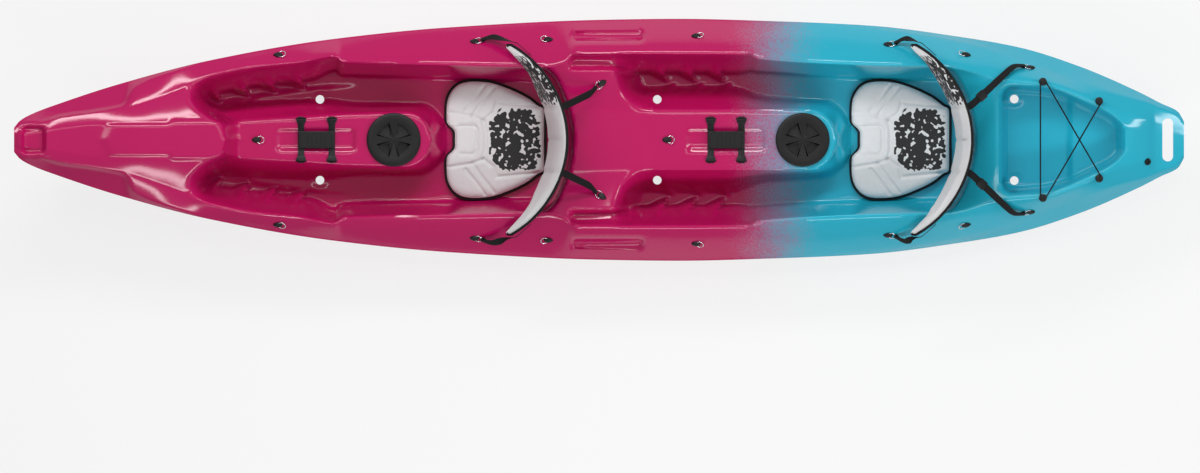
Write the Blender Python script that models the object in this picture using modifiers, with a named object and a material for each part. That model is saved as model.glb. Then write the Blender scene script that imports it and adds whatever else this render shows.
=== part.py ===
"""Tandem sit-on-top kayak, built from its separate pieces.

Metres, +Z up. The bow points to -X and the stern to +X. The origin is on the ground
under the middle of the hull. Stations are shares of the hull's length from the bow.
"""

import math

import bmesh
import bpy
import numpy as np
from mathutils import Matrix, Vector
from mathutils.bvhtree import BVHTree

# Hull moulding
HULL_LENGTH = 3.960
HULL_BEAM = 0.819
HULL_HEIGHT = 0.495
HULL_WALL = 0.006
FLOOR_OVER_BOTTOM = 0.034
GAP = 0.0003

# Lines of the hull: (station, share of the half beam)
HALF_BREADTH_LINE = (
    (0.0, 0.10), (0.005, 0.157), (0.015, 0.2125), (0.0393, 0.3016), (0.0906, 0.4628),
    (0.1675, 0.657), (0.2702, 0.830), (0.3727, 0.930), (0.5008, 0.9915), (0.568, 1.0),
    (0.654, 0.979), (0.732, 0.944), (0.808, 0.852), (0.860, 0.762), (0.911, 0.6056),
    (0.9624, 0.3907), (0.980, 0.303), (0.9949, 0.233), (1.0, 0.150),
)
# Lines of the hull: (station, share of the hull's height)
KEEL_LINE = (
    (0.0, 0.950), (0.006, 0.864), (0.0222, 0.704), (0.0393, 0.561), (0.0564, 0.444),
    (0.0735, 0.349), (0.0906, 0.280), (0.1162, 0.205), (0.1504, 0.144), (0.1932, 0.103),
    (0.2444, 0.072), (0.3128, 0.041), (0.3812, 0.021), (0.4496, 0.0), (0.7573, 0.0),
    (0.8256, 0.014), (0.8769, 0.034), (0.9111, 0.055), (0.9538, 0.103), (0.9607, 0.157),
    (0.9744, 0.308), (0.9778, 0.369), (0.988, 0.417), (1.0, 0.451),
)
BELLY_LINE = (
    (0.7573, 0.0), (0.8256, 0.060), (0.8769, 0.180), (0.9111, 0.235), (0.9538, 0.320),
    (0.9709, 0.355), (0.9778, 0.369), (0.988, 0.417), (1.0, 0.451),
)
EDGE_LINE = (
    (0.0, 0.964), (0.0197, 0.858), (0.0521, 0.773), (0.0983, 0.687), (0.159, 0.622),
    (0.206, 0.557), (0.3299, 0.424), (0.4496, 0.376), (0.5521, 0.383), (0.6718, 0.414),
    (0.7231, 0.403), (0.7838, 0.387), (0.894, 0.409), (0.9367, 0.434), (0.9709, 0.472),
    (1.0, 0.479),
)
SHOULDER_LINE = (
    (0.0, 0.970), (0.0521, 0.880), (0.0923, 0.810), (0.1025, 0.765), (0.1187, 0.712),
    (0.135, 0.687), (0.157, 0.640), (0.206, 0.568), (0.3299, 0.438), (0.4496, 0.392),
    (0.5521, 0.405), (0.6718, 0.440), (0.7231, 0.452), (0.894, 0.566), (0.925, 0.600),
    (0.9624, 0.560), (1.0, 0.495),
)
RAIL_LINE = (
    (0.0, 0.978), (0.0444, 0.916), (0.0923, 0.850), (0.1162, 0.790), (0.1504, 0.705),
    (0.1932, 0.668), (0.2444, 0.632), (0.3299, 0.617), (0.3983, 0.622), (0.4667, 0.639),
    (0.535, 0.650), (0.6034, 0.663), (0.6718, 0.684), (0.7573, 0.704), (0.8085, 0.722),
    (0.8769, 0.711), (0.9282, 0.691), (0.9538, 0.660), (0.968, 0.608), (0.976, 0.560),
    (0.988, 0.526), (1.0, 0.498),
)
RIDGE_LINE = (
    (0.0, 0.976), (0.0085, 0.998), (0.0394, 0.950), (0.0701, 0.913), (0.0992, 0.889),
    (0.1333, 0.838), (0.159, 0.808), (0.190, 0.780), (0.44, 0.560), (0.483, 0.552),
    (0.52, 0.500), (0.58, 0.490), (0.79, 0.560), (0.815, 0.620), (0.845, 0.700),
    (0.94, 0.700), (0.9538, 0.672), (0.968, 0.610), (0.976, 0.562), (0.988, 0.528),
    (1.0, 0.500),
)
# Tracks across the deck: (station, share of the half beam)
RAIL_TRACK = (
    (0.0, 0.063), (0.0394, 0.195), (0.0923, 0.264), (0.1263, 0.366), (0.1452, 0.436),
    (0.1675, 0.523), (0.2008, 0.593), (0.2427, 0.635), (0.2743, 0.684), (0.2803, 0.640),
    (0.3662, 0.618), (0.4538, 0.600), (0.470, 0.640), (0.482, 0.712), (0.6280, 0.706),
    (0.6364, 0.668), (0.7323, 0.615), (0.80, 0.600), (0.8422, 0.500), (0.880, 0.473),
    (0.930, 0.290), (0.9470, 0.200), (0.975, 0.150), (1.0, 0.070),
)
SHOULDER_INSET_LINE = (
    (0.0, 0.020), (0.0394, 0.120), (0.0923, 0.168), (0.1025, 0.069), (0.1187, 0.030),
    (0.135, 0.020), (0.157, 0.012), (0.70, 0.026), (0.798, 0.038), (0.899, 0.130),
    (0.94, 0.100), (0.974, 0.045), (1.0, 0.030),
)
CONSOLE_TOP_TRACK = (
    (0.0, 0.040), (0.08, 0.125), (0.17, 0.135), (0.20, 0.160), (0.24, 0.182),
    (0.30, 0.222), (0.48, 0.250), (0.72, 0.250), (0.93, 0.130), (1.0, 0.030),
)
CONSOLE_FOOT_TRACK = (
    (0.0, 0.052), (0.08, 0.165), (0.17, 0.290), (0.24, 0.325), (0.262, 0.325),
    (0.30, 0.290), (0.48, 0.310), (0.53, 0.430), (0.61, 0.440), (0.645, 0.345),
    (0.72, 0.310), (0.93, 0.180), (1.0, 0.045),
)

# Cross section below the edge: shares of the half breadth and of the side's depth
BOTTOM_TRACKS = ("side", "chine", "runner_out", "runner_in", "channel_out", "channel_in", "keel")
MIDSHIP_SECTION = ((0.91, 0.45), (0.86, 0.16), (0.80, 0.0), (0.575, 0.0), (0.525, 0.10), (0.37, 0.10), (0.32, 0.0))
BOW_SECTION = ((0.80, 0.72), (0.65, 0.50), (0.50, 0.34), (0.36, 0.22), (0.25, 0.14), (0.13, 0.06), (0.06, 0.02))
STERN_SECTION = ((0.80, 0.38), (0.68, 0.27), (0.54, 0.17), (0.38, 0.09), (0.25, 0.03), (0.10, 0.0), (0.075, 0.0))
BOW_SECTION_END = 0.30
STERN_SECTION_START = 0.76
STERN_SECTION_END = 0.90

# Cockpits
SEAT_PITCH = 1.371
FRONT_SEAT_STATION = 0.4141
SEAT_FLOOR_HEIGHT = 0.105
REAR_SEAT_RISE = 0.040
FOOT_FLOOR_HEIGHT = 0.078
REAR_FOOT_FLOOR_RISE = 0.010
CONSOLE_HEIGHT = 0.222
REAR_CONSOLE_RISE = 0.018
WALL_RUN_AT_FEET = 0.068
WALL_RUN_AT_SEAT = 0.046
FRONT_BULKHEAD_REACH = 0.260
REAR_BULKHEAD_REACH = 0.247
BULKHEAD_RUN = 0.045
BULKHEAD_CURVE = 1.4
FOREDECK_DROP_RUN = 0.055
NOSE_END_AHEAD = 0.178
NOSE_TOP_AHEAD = 0.230
NOSE_LENGTH = 0.090
RIB_PITCH = 0.0955
RIB_REACH = 0.036
RIB_SUNK = 0.006
RIBS_FRONT = 4
RIBS_REAR = 3
FIRST_RIB_STATION = 0.1560
FIRST_REAR_RIB_STATION = 0.5380
CONSOLE_RECESS_LENGTH = 0.265
CONSOLE_RECESS_WIDTH = 0.0728
CONSOLE_RECESS_DEPTH = 0.012
FRONT_RECESS_STATION = 0.2585
REAR_RECESS_STATION = 0.6086

# Deck pockets
TANK_WELL_DEPTH = 0.135
TANK_WELL_START_STATION = 0.8420
TANK_WELL_END_STATION = 0.9500
TANK_WELL_WALL = 0.030
TANK_WELL_HALF_WIDTH = 0.188
TANK_WELL_MARGIN = 0.013
TANK_STEP_HEIGHT = 0.022
TANK_STEP_STATION = 0.9000
BOW_POCKET_STATION = 0.0166
BOW_POCKET_LENGTH = 0.085
BOW_POCKET_WIDTH = 0.100
BOW_POCKET_DEPTH = 0.026
SIDE_HANDLE_STATION = 0.5075
SIDE_HANDLE_LENGTH = 0.252
SIDE_HANDLE_WIDTH = 0.042
SIDE_HANDLE_DEPTH = 0.024
SIDE_HANDLE_REACH = 0.350

# Openings through the hull
SCUPPER_BORE_RADIUS = 0.0145
SCUPPER_TUBE_WALL = 0.005
SCUPPER_DISH_RADIUS = 0.027
SCUPPER_DISH_DEPTH = 0.004
SCUPPERS = ((0.2615, 0.1367), (0.5498, 0.1367), (0.8549, 0.1380))
STERN_SLOT_STATION = 0.9861
STERN_SLOT_LENGTH = 0.036
STERN_SLOT_WIDTH = 0.146
BOW_SLOT_REACH = 0.077
BOW_SLOT_MOUTH = 0.036
BOW_SLOT_ROOT = 0.012

# Hatches
HATCH_STATIONS = (0.3245, 0.6740)
LID_RADIUS = 0.0914
LID_PLATE = 0.0045
RIM_FLANGE_RADIUS = 0.0880
RIM_FLANGE_THICKNESS = 0.0040
COLLAR_OUTER_RADIUS = 0.0765
COLLAR_WALL = 0.0050
COLLAR_DEPTH = 0.030
HATCH_CLEARANCE = 0.0010
HATCH_MOUTH_DEPTH = 0.095
SEAL_THICKNESS = 0.0022
LID_BOWL_RADIUS = 0.0560
LID_BOWL_DEPTH = 0.0110
LID_GRIP_BAR = 0.0150
LID_SKIN = 0.0030

# Seats
SEAT_LENGTH = 0.341
SEAT_FORWARD = 0.0105
SEAT_HALF_WIDTH = HULL_BEAM * 0.2479
SEAT_REAR_HALF_WIDTH = SEAT_HALF_WIDTH * 0.586
SEAT_THICKNESS = 0.036
SEAT_NOTCH_DEPTH = 0.028
SEAT_NOTCH_HALF_WIDTH = 0.043
BACKREST_HALF_WIDTH = 0.322
BACKREST_TOP_HEIGHT = 0.497
REAR_BACKREST_RISE = 0.041
BACKREST_TIP_TOP = 0.334
BACKREST_FOOT_LIFT = 0.047
BACKREST_RAIL_CLEARANCE = 0.012
BACKREST_REACH = 0.2335
BACKREST_WRAP = 0.150
BACKREST_LEAN = 0.050
BACKREST_PAD = 0.018
BACKREST_FOLD = 0.115
BACKREST_SHELL = 0.004
BACKREST_TIP_HEIGHT = 0.030
AFT_STRAP_OFFSET = 0.108
AFT_STRAP_SHARE = 0.62
STRAP_WIDTH = 0.024
STRAP_THICKNESS = 0.0022
STRAP_GATHERED = 0.011
STRAP_SLACK = 0.0019
STRAP_CLEARANCE = 0.005
BUCKLE_LENGTH = 0.034
BUCKLE_WIDTH = 0.032
BUCKLE_THICKNESS = 0.007

# Deck fittings
EYE_LENGTH = 0.032
EYE_WIDTH = 0.021
EYE_THICKNESS = 0.007
EYE_LOOP_RADIUS = 0.0125
EYE_WIRE_RADIUS = 0.0014
EYE_LOOP_SET_BACK = 0.003
EYE_LOOP_LEAN = math.radians(12)
EYE_LOOP_HEIGHT = 0.0052
BUNGEE_RADIUS = 0.0025
HOOK_BASE_RADIUS = 0.0135
HOOK_NECK_RADIUS = 0.0050
HOOK_HEIGHT = 0.017
HOOK_BOSS_RADIUS = 0.0150
CONSOLE_STRAP_WIDTH = 0.022
CONSOLE_STRAP_THICKNESS = 0.0025
CONSOLE_STRAP_REACH = 0.079
CONSOLE_STRAP_SPACING = 0.104
CONSOLE_BLOCK_LENGTH = 0.122
CONSOLE_BLOCK_WIDTH = 0.058
CONSOLE_BLOCK_THICKNESS = 0.010
CLIP_LENGTH = 0.026
CLIP_WIDTH = 0.036
CLIP_THICKNESS = 0.0080
DRAIN_STATION = 0.9687
DRAIN_OFFSET = -0.0738
DRAIN_CAP_RADIUS = 0.0105
DRAIN_CAP_HEIGHT = 0.0050
DRAIN_STEM_RADIUS = 0.0058
DRAIN_STEM_LENGTH = 0.018
DRAIN_BORE_DEPTH = 0.090
GASKET_RADIUS = 0.0118
GASKET_THICKNESS = 0.0016

# Eyes: (station, share of the half beam, heading of the loop along the hull)
SIDE_EYES = (
    ("bow_side", 0.2256, 0.699, 1.0),
    ("front_strap", 0.3936, 0.810, 1.0),
    ("front_side", 0.4568, 0.826, -1.0),
    ("mid_side", 0.5829, 0.855, 1.0),
    ("front_back_strap", 0.5026, 0.470, -1.0),
    ("rear_strap", 0.7470, 0.784, 1.0),
    ("rear_side", 0.8137, 0.700, -1.0),
    ("rear_back_strap", 0.8689, 0.592, -1.0),
)
CENTRE_EYES = (("front_console_eye", 0.2072), ("rear_console_eye", 0.5580))
HOOKS = (("front", 0.8794, 0.481), ("rear", 0.9275, 0.320))

HALF_BEAM = HULL_BEAM / 2

MATERIALS = {
    "bow_plastic": ((0.52, 0.010, 0.115), 0.28, 0.0),
    "black_plastic": ((0.012, 0.012, 0.013), 0.45, 0.0),
    "black_rubber": ((0.015, 0.015, 0.016), 0.8, 0.0),
    "webbing": ((0.014, 0.014, 0.016), 0.85, 0.0),
    "foam": ((0.62, 0.63, 0.65), 0.6, 0.0),
    "backing": ((0.010, 0.010, 0.011), 0.8, 0.0),
}


# Small mathematics

def smooth(t):
    """A step from 0 to 1 with level ends."""
    t = np.clip(t, 0.0, 1.0)
    return t * t * (3.0 - 2.0 * t)


def between(a, b, t):
    return a + (b - a) * t


def line(points, scale=1.0):
    """A smooth curve through the points that never overshoots them."""
    at = np.array([p[0] for p in points], float)
    value = np.array([p[1] for p in points], float) * scale
    run = np.diff(at)
    slope = np.diff(value) / run
    tangent = np.zeros(len(points))
    both = slope[:-1] * slope[1:]
    total = slope[:-1] + slope[1:]
    tangent[1:-1] = np.where(both > 0, 2 * both / np.where(total == 0, 1, total), 0.0)
    tangent[0], tangent[-1] = slope[0], slope[-1]

    def value_at(u):
        u = np.asarray(u, float)
        k = np.clip(np.searchsorted(at, u) - 1, 0, len(at) - 2)
        t = np.clip((u - at[k]) / run[k], 0.0, 1.0)
        a = (1 + 2 * t) * (1 - t) ** 2 * value[k] + t * (1 - t) ** 2 * run[k] * tangent[k]
        return a + t * t * (3 - 2 * t) * value[k + 1] - t * t * (1 - t) * run[k] * tangent[k + 1]

    return value_at


half_breadth = line(HALF_BREADTH_LINE, HALF_BEAM)
keel_height = line(KEEL_LINE, HULL_HEIGHT)
belly_aft = line(BELLY_LINE, HULL_HEIGHT)
edge_height = line(EDGE_LINE, HULL_HEIGHT)
shoulder_height = line(SHOULDER_LINE, HULL_HEIGHT)
rail_height = line(RAIL_LINE, HULL_HEIGHT)
ridge_height = line(RIDGE_LINE, HULL_HEIGHT)
rail_track = line(RAIL_TRACK, HALF_BEAM)
shoulder_inset = line(SHOULDER_INSET_LINE, HALF_BEAM)
console_top_track = line(CONSOLE_TOP_TRACK, HALF_BEAM)
console_foot_track = line(CONSOLE_FOOT_TRACK, HALF_BEAM)


def station(x):
    return x / HULL_LENGTH + 0.5


def along(u):
    return (u - 0.5) * HULL_LENGTH


# Hull below the edge

def belly_height(u):
    return np.where(u < BELLY_LINE[0][0], keel_height(u), belly_aft(u))


def bottom_section(u):
    """Half breadth and height of the points from the edge down to the keel at station u."""
    bow = 1.0 - smooth(u / BOW_SECTION_END)
    stern = smooth((u - STERN_SECTION_START) / (STERN_SECTION_END - STERN_SECTION_START))
    breadth, edge, belly = half_breadth(u), edge_height(u), belly_height(u)
    points = [(breadth, edge)]
    for name, mid, fore, aft in zip(BOTTOM_TRACKS, MIDSHIP_SECTION, BOW_SECTION, STERN_SECTION):
        share = between(between(mid[0], fore[0], bow), aft[0], stern)
        lift = between(between(mid[1], fore[1], bow), aft[1], stern)
        base = keel_height(u) if name == "keel" else belly
        lift = lift * (1.0 - stern) if name == "keel" else lift
        points.append((breadth * share, base + (edge - belly) * lift))
    points.append((np.zeros_like(breadth), keel_height(u)))
    return points


def bottom_height(u, y):
    """Height of the hull's underside at stations u, one row for each, and offsets y."""
    section = bottom_section(u[:, 0])
    across = np.array([p[0] for p in section])[::-1]
    height = np.array([p[1] for p in section])[::-1]
    rows = [np.interp(y[i], across[:, i], height[:, i]) for i in range(len(u))]
    return np.array(rows)


# Deck

def shoulder_track(u):
    return half_breadth(u) - shoulder_inset(u)


def floor_track(u):
    feet = smooth((0.275 - u) / 0.02) + smooth((u - 0.475) / 0.01) * smooth((0.640 - u) / 0.02)
    run = between(WALL_RUN_AT_SEAT, WALL_RUN_AT_FEET, feet)
    return rail_track(u) - np.minimum(run, 0.3 * rail_track(u))


def open_deck(u, y):
    """The deck before its wells are cut: ridge, rail, shoulder and edge."""
    ridge, rail, shoulder, edge = ridge_height(u), rail_height(u), shoulder_height(u), edge_height(u)
    y_ridge = np.minimum(console_top_track(u), 0.85 * rail_track(u))
    y_rail, y_shoulder, y_edge = rail_track(u), shoulder_track(u), half_breadth(u)
    inner = between(ridge, rail, np.clip((y - y_ridge) / (y_rail - y_ridge), 0, 1) ** 1.3)
    outer = between(rail, shoulder, np.clip((y - y_rail) / (y_shoulder - y_rail), 0, 1) ** 1.25)
    flare = between(shoulder, edge, np.clip((y - y_shoulder) / (y_edge - y_shoulder), 0, 1))
    return np.where(y < y_rail, inner, np.where(y < y_shoulder, outer, flare))


class Cockpit:
    """One paddler's tub: foot wells beside a console, a seat floor and a bulkhead."""

    def __init__(self, seat, rise, foot_rise, console_rise, front_edge, bulkhead_reach, ribs, first_rib,
                 backrest_rise):
        self.seat = seat
        self.floor = SEAT_FLOOR_HEIGHT + rise
        self.foot_floor = FOOT_FLOOR_HEIGHT + foot_rise
        self.console = CONSOLE_HEIGHT + console_rise
        self.front_edge = line(front_edge)
        self.ribs, self.first_rib = ribs, first_rib
        self.nose = seat - NOSE_END_AHEAD / HULL_LENGTH
        self.nose_top = seat - NOSE_TOP_AHEAD / HULL_LENGTH
        self.back = seat + bulkhead_reach / HULL_LENGTH
        self.backrest_top = BACKREST_TOP_HEIGHT + backrest_rise
        self.strap_share = AFT_STRAP_SHARE

    def floor_height(self, u):
        """Foot wells, a short slope, and the level seat floor."""
        return between(self.foot_floor, self.floor, smooth((u - (self.nose - 0.060)) / 0.050))

    def console_half_widths(self, u):
        """Half widths of the console's top and foot, each drawn in to a round nose."""
        length = NOSE_LENGTH / HULL_LENGTH
        widths = []
        for track, end in ((console_top_track(u), self.nose_top), (console_foot_track(u), self.nose)):
            to_end = np.clip((u - (end - length)) / length, 0, 1)
            widths.append(track * np.sqrt(np.clip(1.0 - to_end**2, 0, 1)))
        return widths[0], np.maximum(widths[1], widths[0] + 0.004)

    def height(self, u, y):
        y_floor, y_rail = floor_track(u), rail_track(u)
        level = np.maximum(self.floor_height(u), bottom_height(u, y) + FLOOR_OVER_BOTTOM)
        rise = np.clip((y - y_floor) / (y_rail - y_floor), 0, 1)
        wall = between(level, rail_height(u), rise)
        y_top, y_foot = self.console_half_widths(u)
        side = np.clip((y_foot - y) / (y_foot - y_top), 0, 1)
        to_end = np.clip((self.nose - u) / (self.nose - self.nose_top), 0, 1)
        console = between(level, self.console, np.minimum(side, to_end))
        return np.maximum(wall, console)

    def depth_share(self, u, y):
        """1 inside the tub and 0 on the deck around its front edge and bulkhead."""
        enter = (u - self.front_edge(np.clip(y / HALF_BEAM, 0, 1))) * HULL_LENGTH
        run = FOREDECK_DROP_RUN + 0.045 * smooth(y / 0.12)
        back = (self.back - u) * HULL_LENGTH - BULKHEAD_CURVE * y**2
        return smooth(enter / run) * smooth(back / BULKHEAD_RUN)

    def cut(self, deck, u, y):
        share = self.depth_share(u, y)
        return np.where(y < rail_track(u), between(deck, np.minimum(self.height(u, y), deck), share), deck)


REAR_SEAT_STATION = FRONT_SEAT_STATION + SEAT_PITCH / HULL_LENGTH
FRONT_EDGE = ((0.0, 0.1795), (0.134, 0.1742), (0.183, 0.1640), (0.232, 0.1560), (0.33, 0.1480), (0.44, 0.1445))
REAR_EDGE = ((0.0, 0.5310), (0.254, 0.5270), (0.293, 0.5230), (0.415, 0.5150), (0.56, 0.5105), (0.72, 0.5095))
COCKPITS = (
    Cockpit(FRONT_SEAT_STATION, 0.0, 0.0, 0.0, FRONT_EDGE, FRONT_BULKHEAD_REACH,
            RIBS_FRONT, FIRST_RIB_STATION, 0.0),
    Cockpit(REAR_SEAT_STATION, REAR_SEAT_RISE, REAR_FOOT_FLOOR_RISE, REAR_CONSOLE_RISE,
            REAR_EDGE, REAR_BULKHEAD_REACH, RIBS_REAR, FIRST_REAR_RIB_STATION, REAR_BACKREST_RISE),
)


def tank_well(deck, u, y):
    """Luggage well behind the rear seat, narrowing aft, with a raised step at its end."""
    fore = (u - TANK_WELL_START_STATION) * HULL_LENGTH
    aft = (TANK_WELL_END_STATION - u) * HULL_LENGTH
    side = np.minimum(rail_track(u) - TANK_WELL_MARGIN, TANK_WELL_HALF_WIDTH) - y
    ends = np.minimum(fore, aft)
    corner = 0.045
    near = corner - np.hypot(np.maximum(corner - ends, 0), np.maximum(corner - side, 0))
    inside = np.where((ends < corner) & (side < corner), near, np.minimum(ends, side))
    level = RAIL_AT_TANK - TANK_WELL_DEPTH
    step = TANK_STEP_HEIGHT * smooth((u - TANK_STEP_STATION) * HULL_LENGTH / 0.02)
    return between(deck, np.minimum(deck, level + step), smooth(inside / TANK_WELL_WALL))


RAIL_AT_TANK = float(rail_height(TANK_WELL_START_STATION))


def foredeck_plateau(u, y):
    """A slightly raised strip along the middle of the foredeck, stepped out once."""
    half = between(0.052, 0.065, smooth((u - 0.1318) / 0.004))
    along_it = smooth((u - 0.0701 - 0.10 * y) / 0.012)
    return 0.007 * along_it * smooth((half - y) / 0.006 + 0.5) * smooth((0.186 - u) / 0.006)


def deck_height(u, y):
    """Height of the deck's outer surface at stations u and offsets y, both 2D arrays."""
    y = np.abs(y)
    deck = open_deck(u, y) + foredeck_plateau(u, y)
    for cockpit in COCKPITS:
        deck = cockpit.cut(deck, u, y)
    return tank_well(deck, u, y)


def deck_at(x, y):
    return float(deck_height(np.array([[station(x)]]), np.array([[y]]))[0, 0])


# Meshes

def new_object(name, mesh, collection, material=None):
    obj = bpy.data.objects.new(name, mesh)
    collection.objects.link(obj)
    if material:
        obj.data.materials.append(material)
    return obj


def mesh_of(name, points, faces):
    mesh = bpy.data.meshes.new(name)
    mesh.from_pydata([tuple(p) for p in points], [], faces)
    work = bmesh.new()
    work.from_mesh(mesh)
    bmesh.ops.recalc_face_normals(work, faces=work.faces)
    work.to_mesh(mesh)
    work.free()
    return mesh


def loft(name, rings):
    """A closed body through rings of equally many points, its two ends capped."""
    count = len(rings[0])
    points = [p for ring in rings for p in ring]
    faces = []
    for i in range(len(rings) - 1):
        for j in range(count):
            k = (j + 1) % count
            faces.append((i * count + j, i * count + k, (i + 1) * count + k, (i + 1) * count + j))
    faces.append(tuple(range(count)))
    faces.append(tuple(range((len(rings) - 1) * count, len(rings) * count)))
    return mesh_of(name, points, faces)


def cylinder(name, radius, bottom, top, x, y, collection, sides=16):
    mesh = bpy.data.meshes.new(name)
    work = bmesh.new()
    bmesh.ops.create_cone(work, cap_ends=True, segments=sides, radius1=radius, radius2=radius,
                          depth=top - bottom, matrix=Matrix.Translation((x, y, (top + bottom) / 2)))
    work.to_mesh(mesh)
    work.free()
    return new_object(name, mesh, collection)


def joined(name, objects, collection):
    """One object that holds the meshes of several, which are removed."""
    work = bmesh.new()
    for obj in objects:
        work.from_mesh(obj.data)
        bpy.data.objects.remove(obj)
    mesh = bpy.data.meshes.new(name)
    work.to_mesh(mesh)
    work.free()
    return new_object(name, mesh, collection)


def boolean(obj, other, operation):
    modifier = obj.modifiers.new(other.name, "BOOLEAN")
    modifier.operation = operation
    modifier.object = other
    modifier.solver = "EXACT"


def hide(obj):
    obj.hide_render = True
    obj.display_type = "WIRE"
    return obj


def evaluated_mesh(obj):
    graph = bpy.context.evaluated_depsgraph_get()
    return bpy.data.meshes.new_from_object(obj.evaluated_get(graph))


def shade(obj, angle=35.0):
    obj.data.shade_smooth()
    obj.data.set_sharp_from_angle(angle=math.radians(angle))


# Hull

def deck_columns(u):
    """Offsets of the deck's grid lines at stations u, from the middle to the edge."""
    breadth, rail, floor, shoulder = half_breadth(u), rail_track(u), floor_track(u), shoulder_track(u)
    top = np.minimum(console_top_track(u), 0.5 * rail)
    foot = np.minimum(np.maximum(console_foot_track(u), top + 0.02 * rail), 0.7 * rail)
    for cockpit in COCKPITS:
        nose = (u > cockpit.nose_top - NOSE_LENGTH / HULL_LENGTH) & (u < cockpit.nose + 0.004)
        y_top, y_foot = cockpit.console_half_widths(u)
        top = np.where(nose, np.maximum(y_top, 0.10 * rail), top)
        foot = np.where(nose, np.maximum(y_foot, 0.16 * rail), foot)
    outer = between(rail, shoulder, 0.5)
    return [np.zeros_like(u), 0.5 * top, top, foot, between(foot, floor, 0.5), floor,
            between(floor, rail, 0.5), rail, outer, shoulder, breadth]


def hull_stations():
    """Stations close together where the deck has detail, and never far apart."""
    keys = [0.0, 0.002, 0.006, 0.012, 0.0222, 0.0394, 0.0564, 0.0701, 0.0820, 0.100, 0.1187]
    for cockpit in COCKPITS:
        keys += [cockpit.nose_top - 0.018, cockpit.nose_top - 0.007, cockpit.nose_top - 0.002, cockpit.nose_top,
                 cockpit.nose - 0.007, cockpit.nose - 0.002, cockpit.nose, cockpit.back - 0.026,
                 cockpit.back - 0.018, cockpit.back - BULKHEAD_RUN / HULL_LENGTH, cockpit.back - 0.0055, cockpit.back]
    keys += [0.1445, 0.152, 0.160, 0.168, 0.1752, 0.1815, 0.1875, 0.194, 0.2743, 0.2803, 0.6280, 0.6364]
    keys += [0.5095, 0.5175, 0.5255, 0.5330, 0.5420]
    keys += [TANK_WELL_START_STATION, TANK_WELL_START_STATION + TANK_WELL_WALL / HULL_LENGTH,
             TANK_STEP_STATION, TANK_STEP_STATION + 0.006, TANK_WELL_END_STATION - 0.008, TANK_WELL_END_STATION]
    keys += [0.9607, 0.9675, 0.9744, 0.9778, 0.988, 0.995, 1.0]
    keys = sorted(keys)
    stations = [keys[0]]
    for key in keys[1:]:
        if key - stations[-1] < 0.0016:
            continue
        pieces = math.ceil((key - stations[-1]) / 0.024)
        step = (key - stations[-1]) / pieces
        stations += [stations[-1] + step * (i + 1) for i in range(pieces)]
    return np.array(stations)


def hull_rings():
    u = hull_stations()
    columns = np.array(deck_columns(u)).T
    grid_u = np.repeat(u[:, None], columns.shape[1], axis=1)
    deck = deck_height(grid_u, columns)
    deck[:, -1] = edge_height(u)
    bottom = bottom_section(u)[1:]
    rings = []
    for i, at in enumerate(along(u)):
        half = [(columns[i, j], deck[i, j]) for j in range(columns.shape[1])]
        under = [(float(p[0][i]), float(p[1][i])) for p in bottom]
        ring = half + under[:-1]
        mirrored = [(-y, z) for y, z in reversed(ring[1:])]
        keel = [(0.0, under[-1][1])]
        rings.append([(at, y, z) for y, z in ring + keel + mirrored])
    return rings


def spread(surface, near, low, high, pick):
    """The lowest or highest the surface gets over stations near and offsets low to high."""
    y = np.tile(np.linspace(max(low, 0.0), high, 9), (len(near), 1))
    return float(pick(surface(np.repeat(near[:, None], 9, axis=1), y)))


def recess_above(near):
    """How far a console recess sinks into the roof of the hold over stations near."""
    reach = CONSOLE_RECESS_LENGTH / 2 / HULL_LENGTH
    found = [at for at in (FRONT_RECESS_STATION, REAR_RECESS_STATION)
             if near[0] < at + reach and near[-1] > at - reach]
    return CONSOLE_RECESS_DEPTH if found else 0.0


def cavity_rings():
    """The hold inside the hull, under the foredeck, the consoles, the floors and the stern."""
    u = np.concatenate([np.linspace(0.10, 0.865, 34), np.linspace(0.885, 0.962, 5)])
    skin, side = HULL_WALL * 1.2, HULL_WALL * 2.2
    nears, tracks = [], []
    for i in range(len(u)):
        near = np.linspace(u[max(i - 1, 0)], u[min(i + 1, len(u) - 1)], 9)
        columns = deck_columns(near)
        outer = columns[4].min()
        limits = [0.0, columns[2].min() - side, columns[3].min() - side, outer]
        nears.append(near)
        tracks.append(np.maximum.accumulate(np.maximum(limits, np.arange(4) * 0.004)))
    rings = []
    for i, at in enumerate(u):
        reach = np.array(tracks[max(i - 1, 0):i + 2])
        roof = [spread(deck_height, nears[i], low - side, high + side, np.min) - skin - recess_above(nears[i])
                for low, high in zip(reach.min(axis=0), reach.max(axis=0))]
        bed = [spread(bottom_height, nears[i], low, high + side, np.max) + skin
               for low, high in zip(reach.min(axis=0), reach.max(axis=0))]
        upper = [(y, max(z, b + 0.003)) for y, z, b in zip(tracks[i], roof, bed)]
        ring = upper + list(zip(tracks[i], bed))[:0:-1]
        mirrored = [(-y, z) for y, z in reversed(ring[1:])]
        rings.append([(along(at), y, z) for y, z in ring + [(0.0, max(bed[:2]))] + mirrored])
    return rings


def rounded_outline(length, width, corner, steps=3):
    """Points of a rectangle with round corners about the origin."""
    points = []
    for i, (sx, sy) in enumerate(((1, 1), (-1, 1), (-1, -1), (1, -1))):
        for k in range(steps + 1):
            turn = math.pi / 2 * (i + k / steps)
            points.append((sx * (length / 2 - corner) + corner * math.cos(turn),
                           sy * (width / 2 - corner) + corner * math.sin(turn)))
    return points


def pocket_cutter(name, x, y, length, width, corner, depth, draft, collection):
    """Sinks a pocket whose floor runs parallel to the deck and whose walls lean outwards."""
    rings = []
    for inset, drop in ((draft, -depth), (0.0, 0.0), (-0.001, 0.03)):
        outline = rounded_outline(length - 2 * inset, width - 2 * inset, max(corner - inset, 0.003))
        rings.append([(x + a, y + b, deck_at(x + a, y + b) + drop) for a, b in outline])
    return new_object(name, loft(name, rings), collection)


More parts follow.
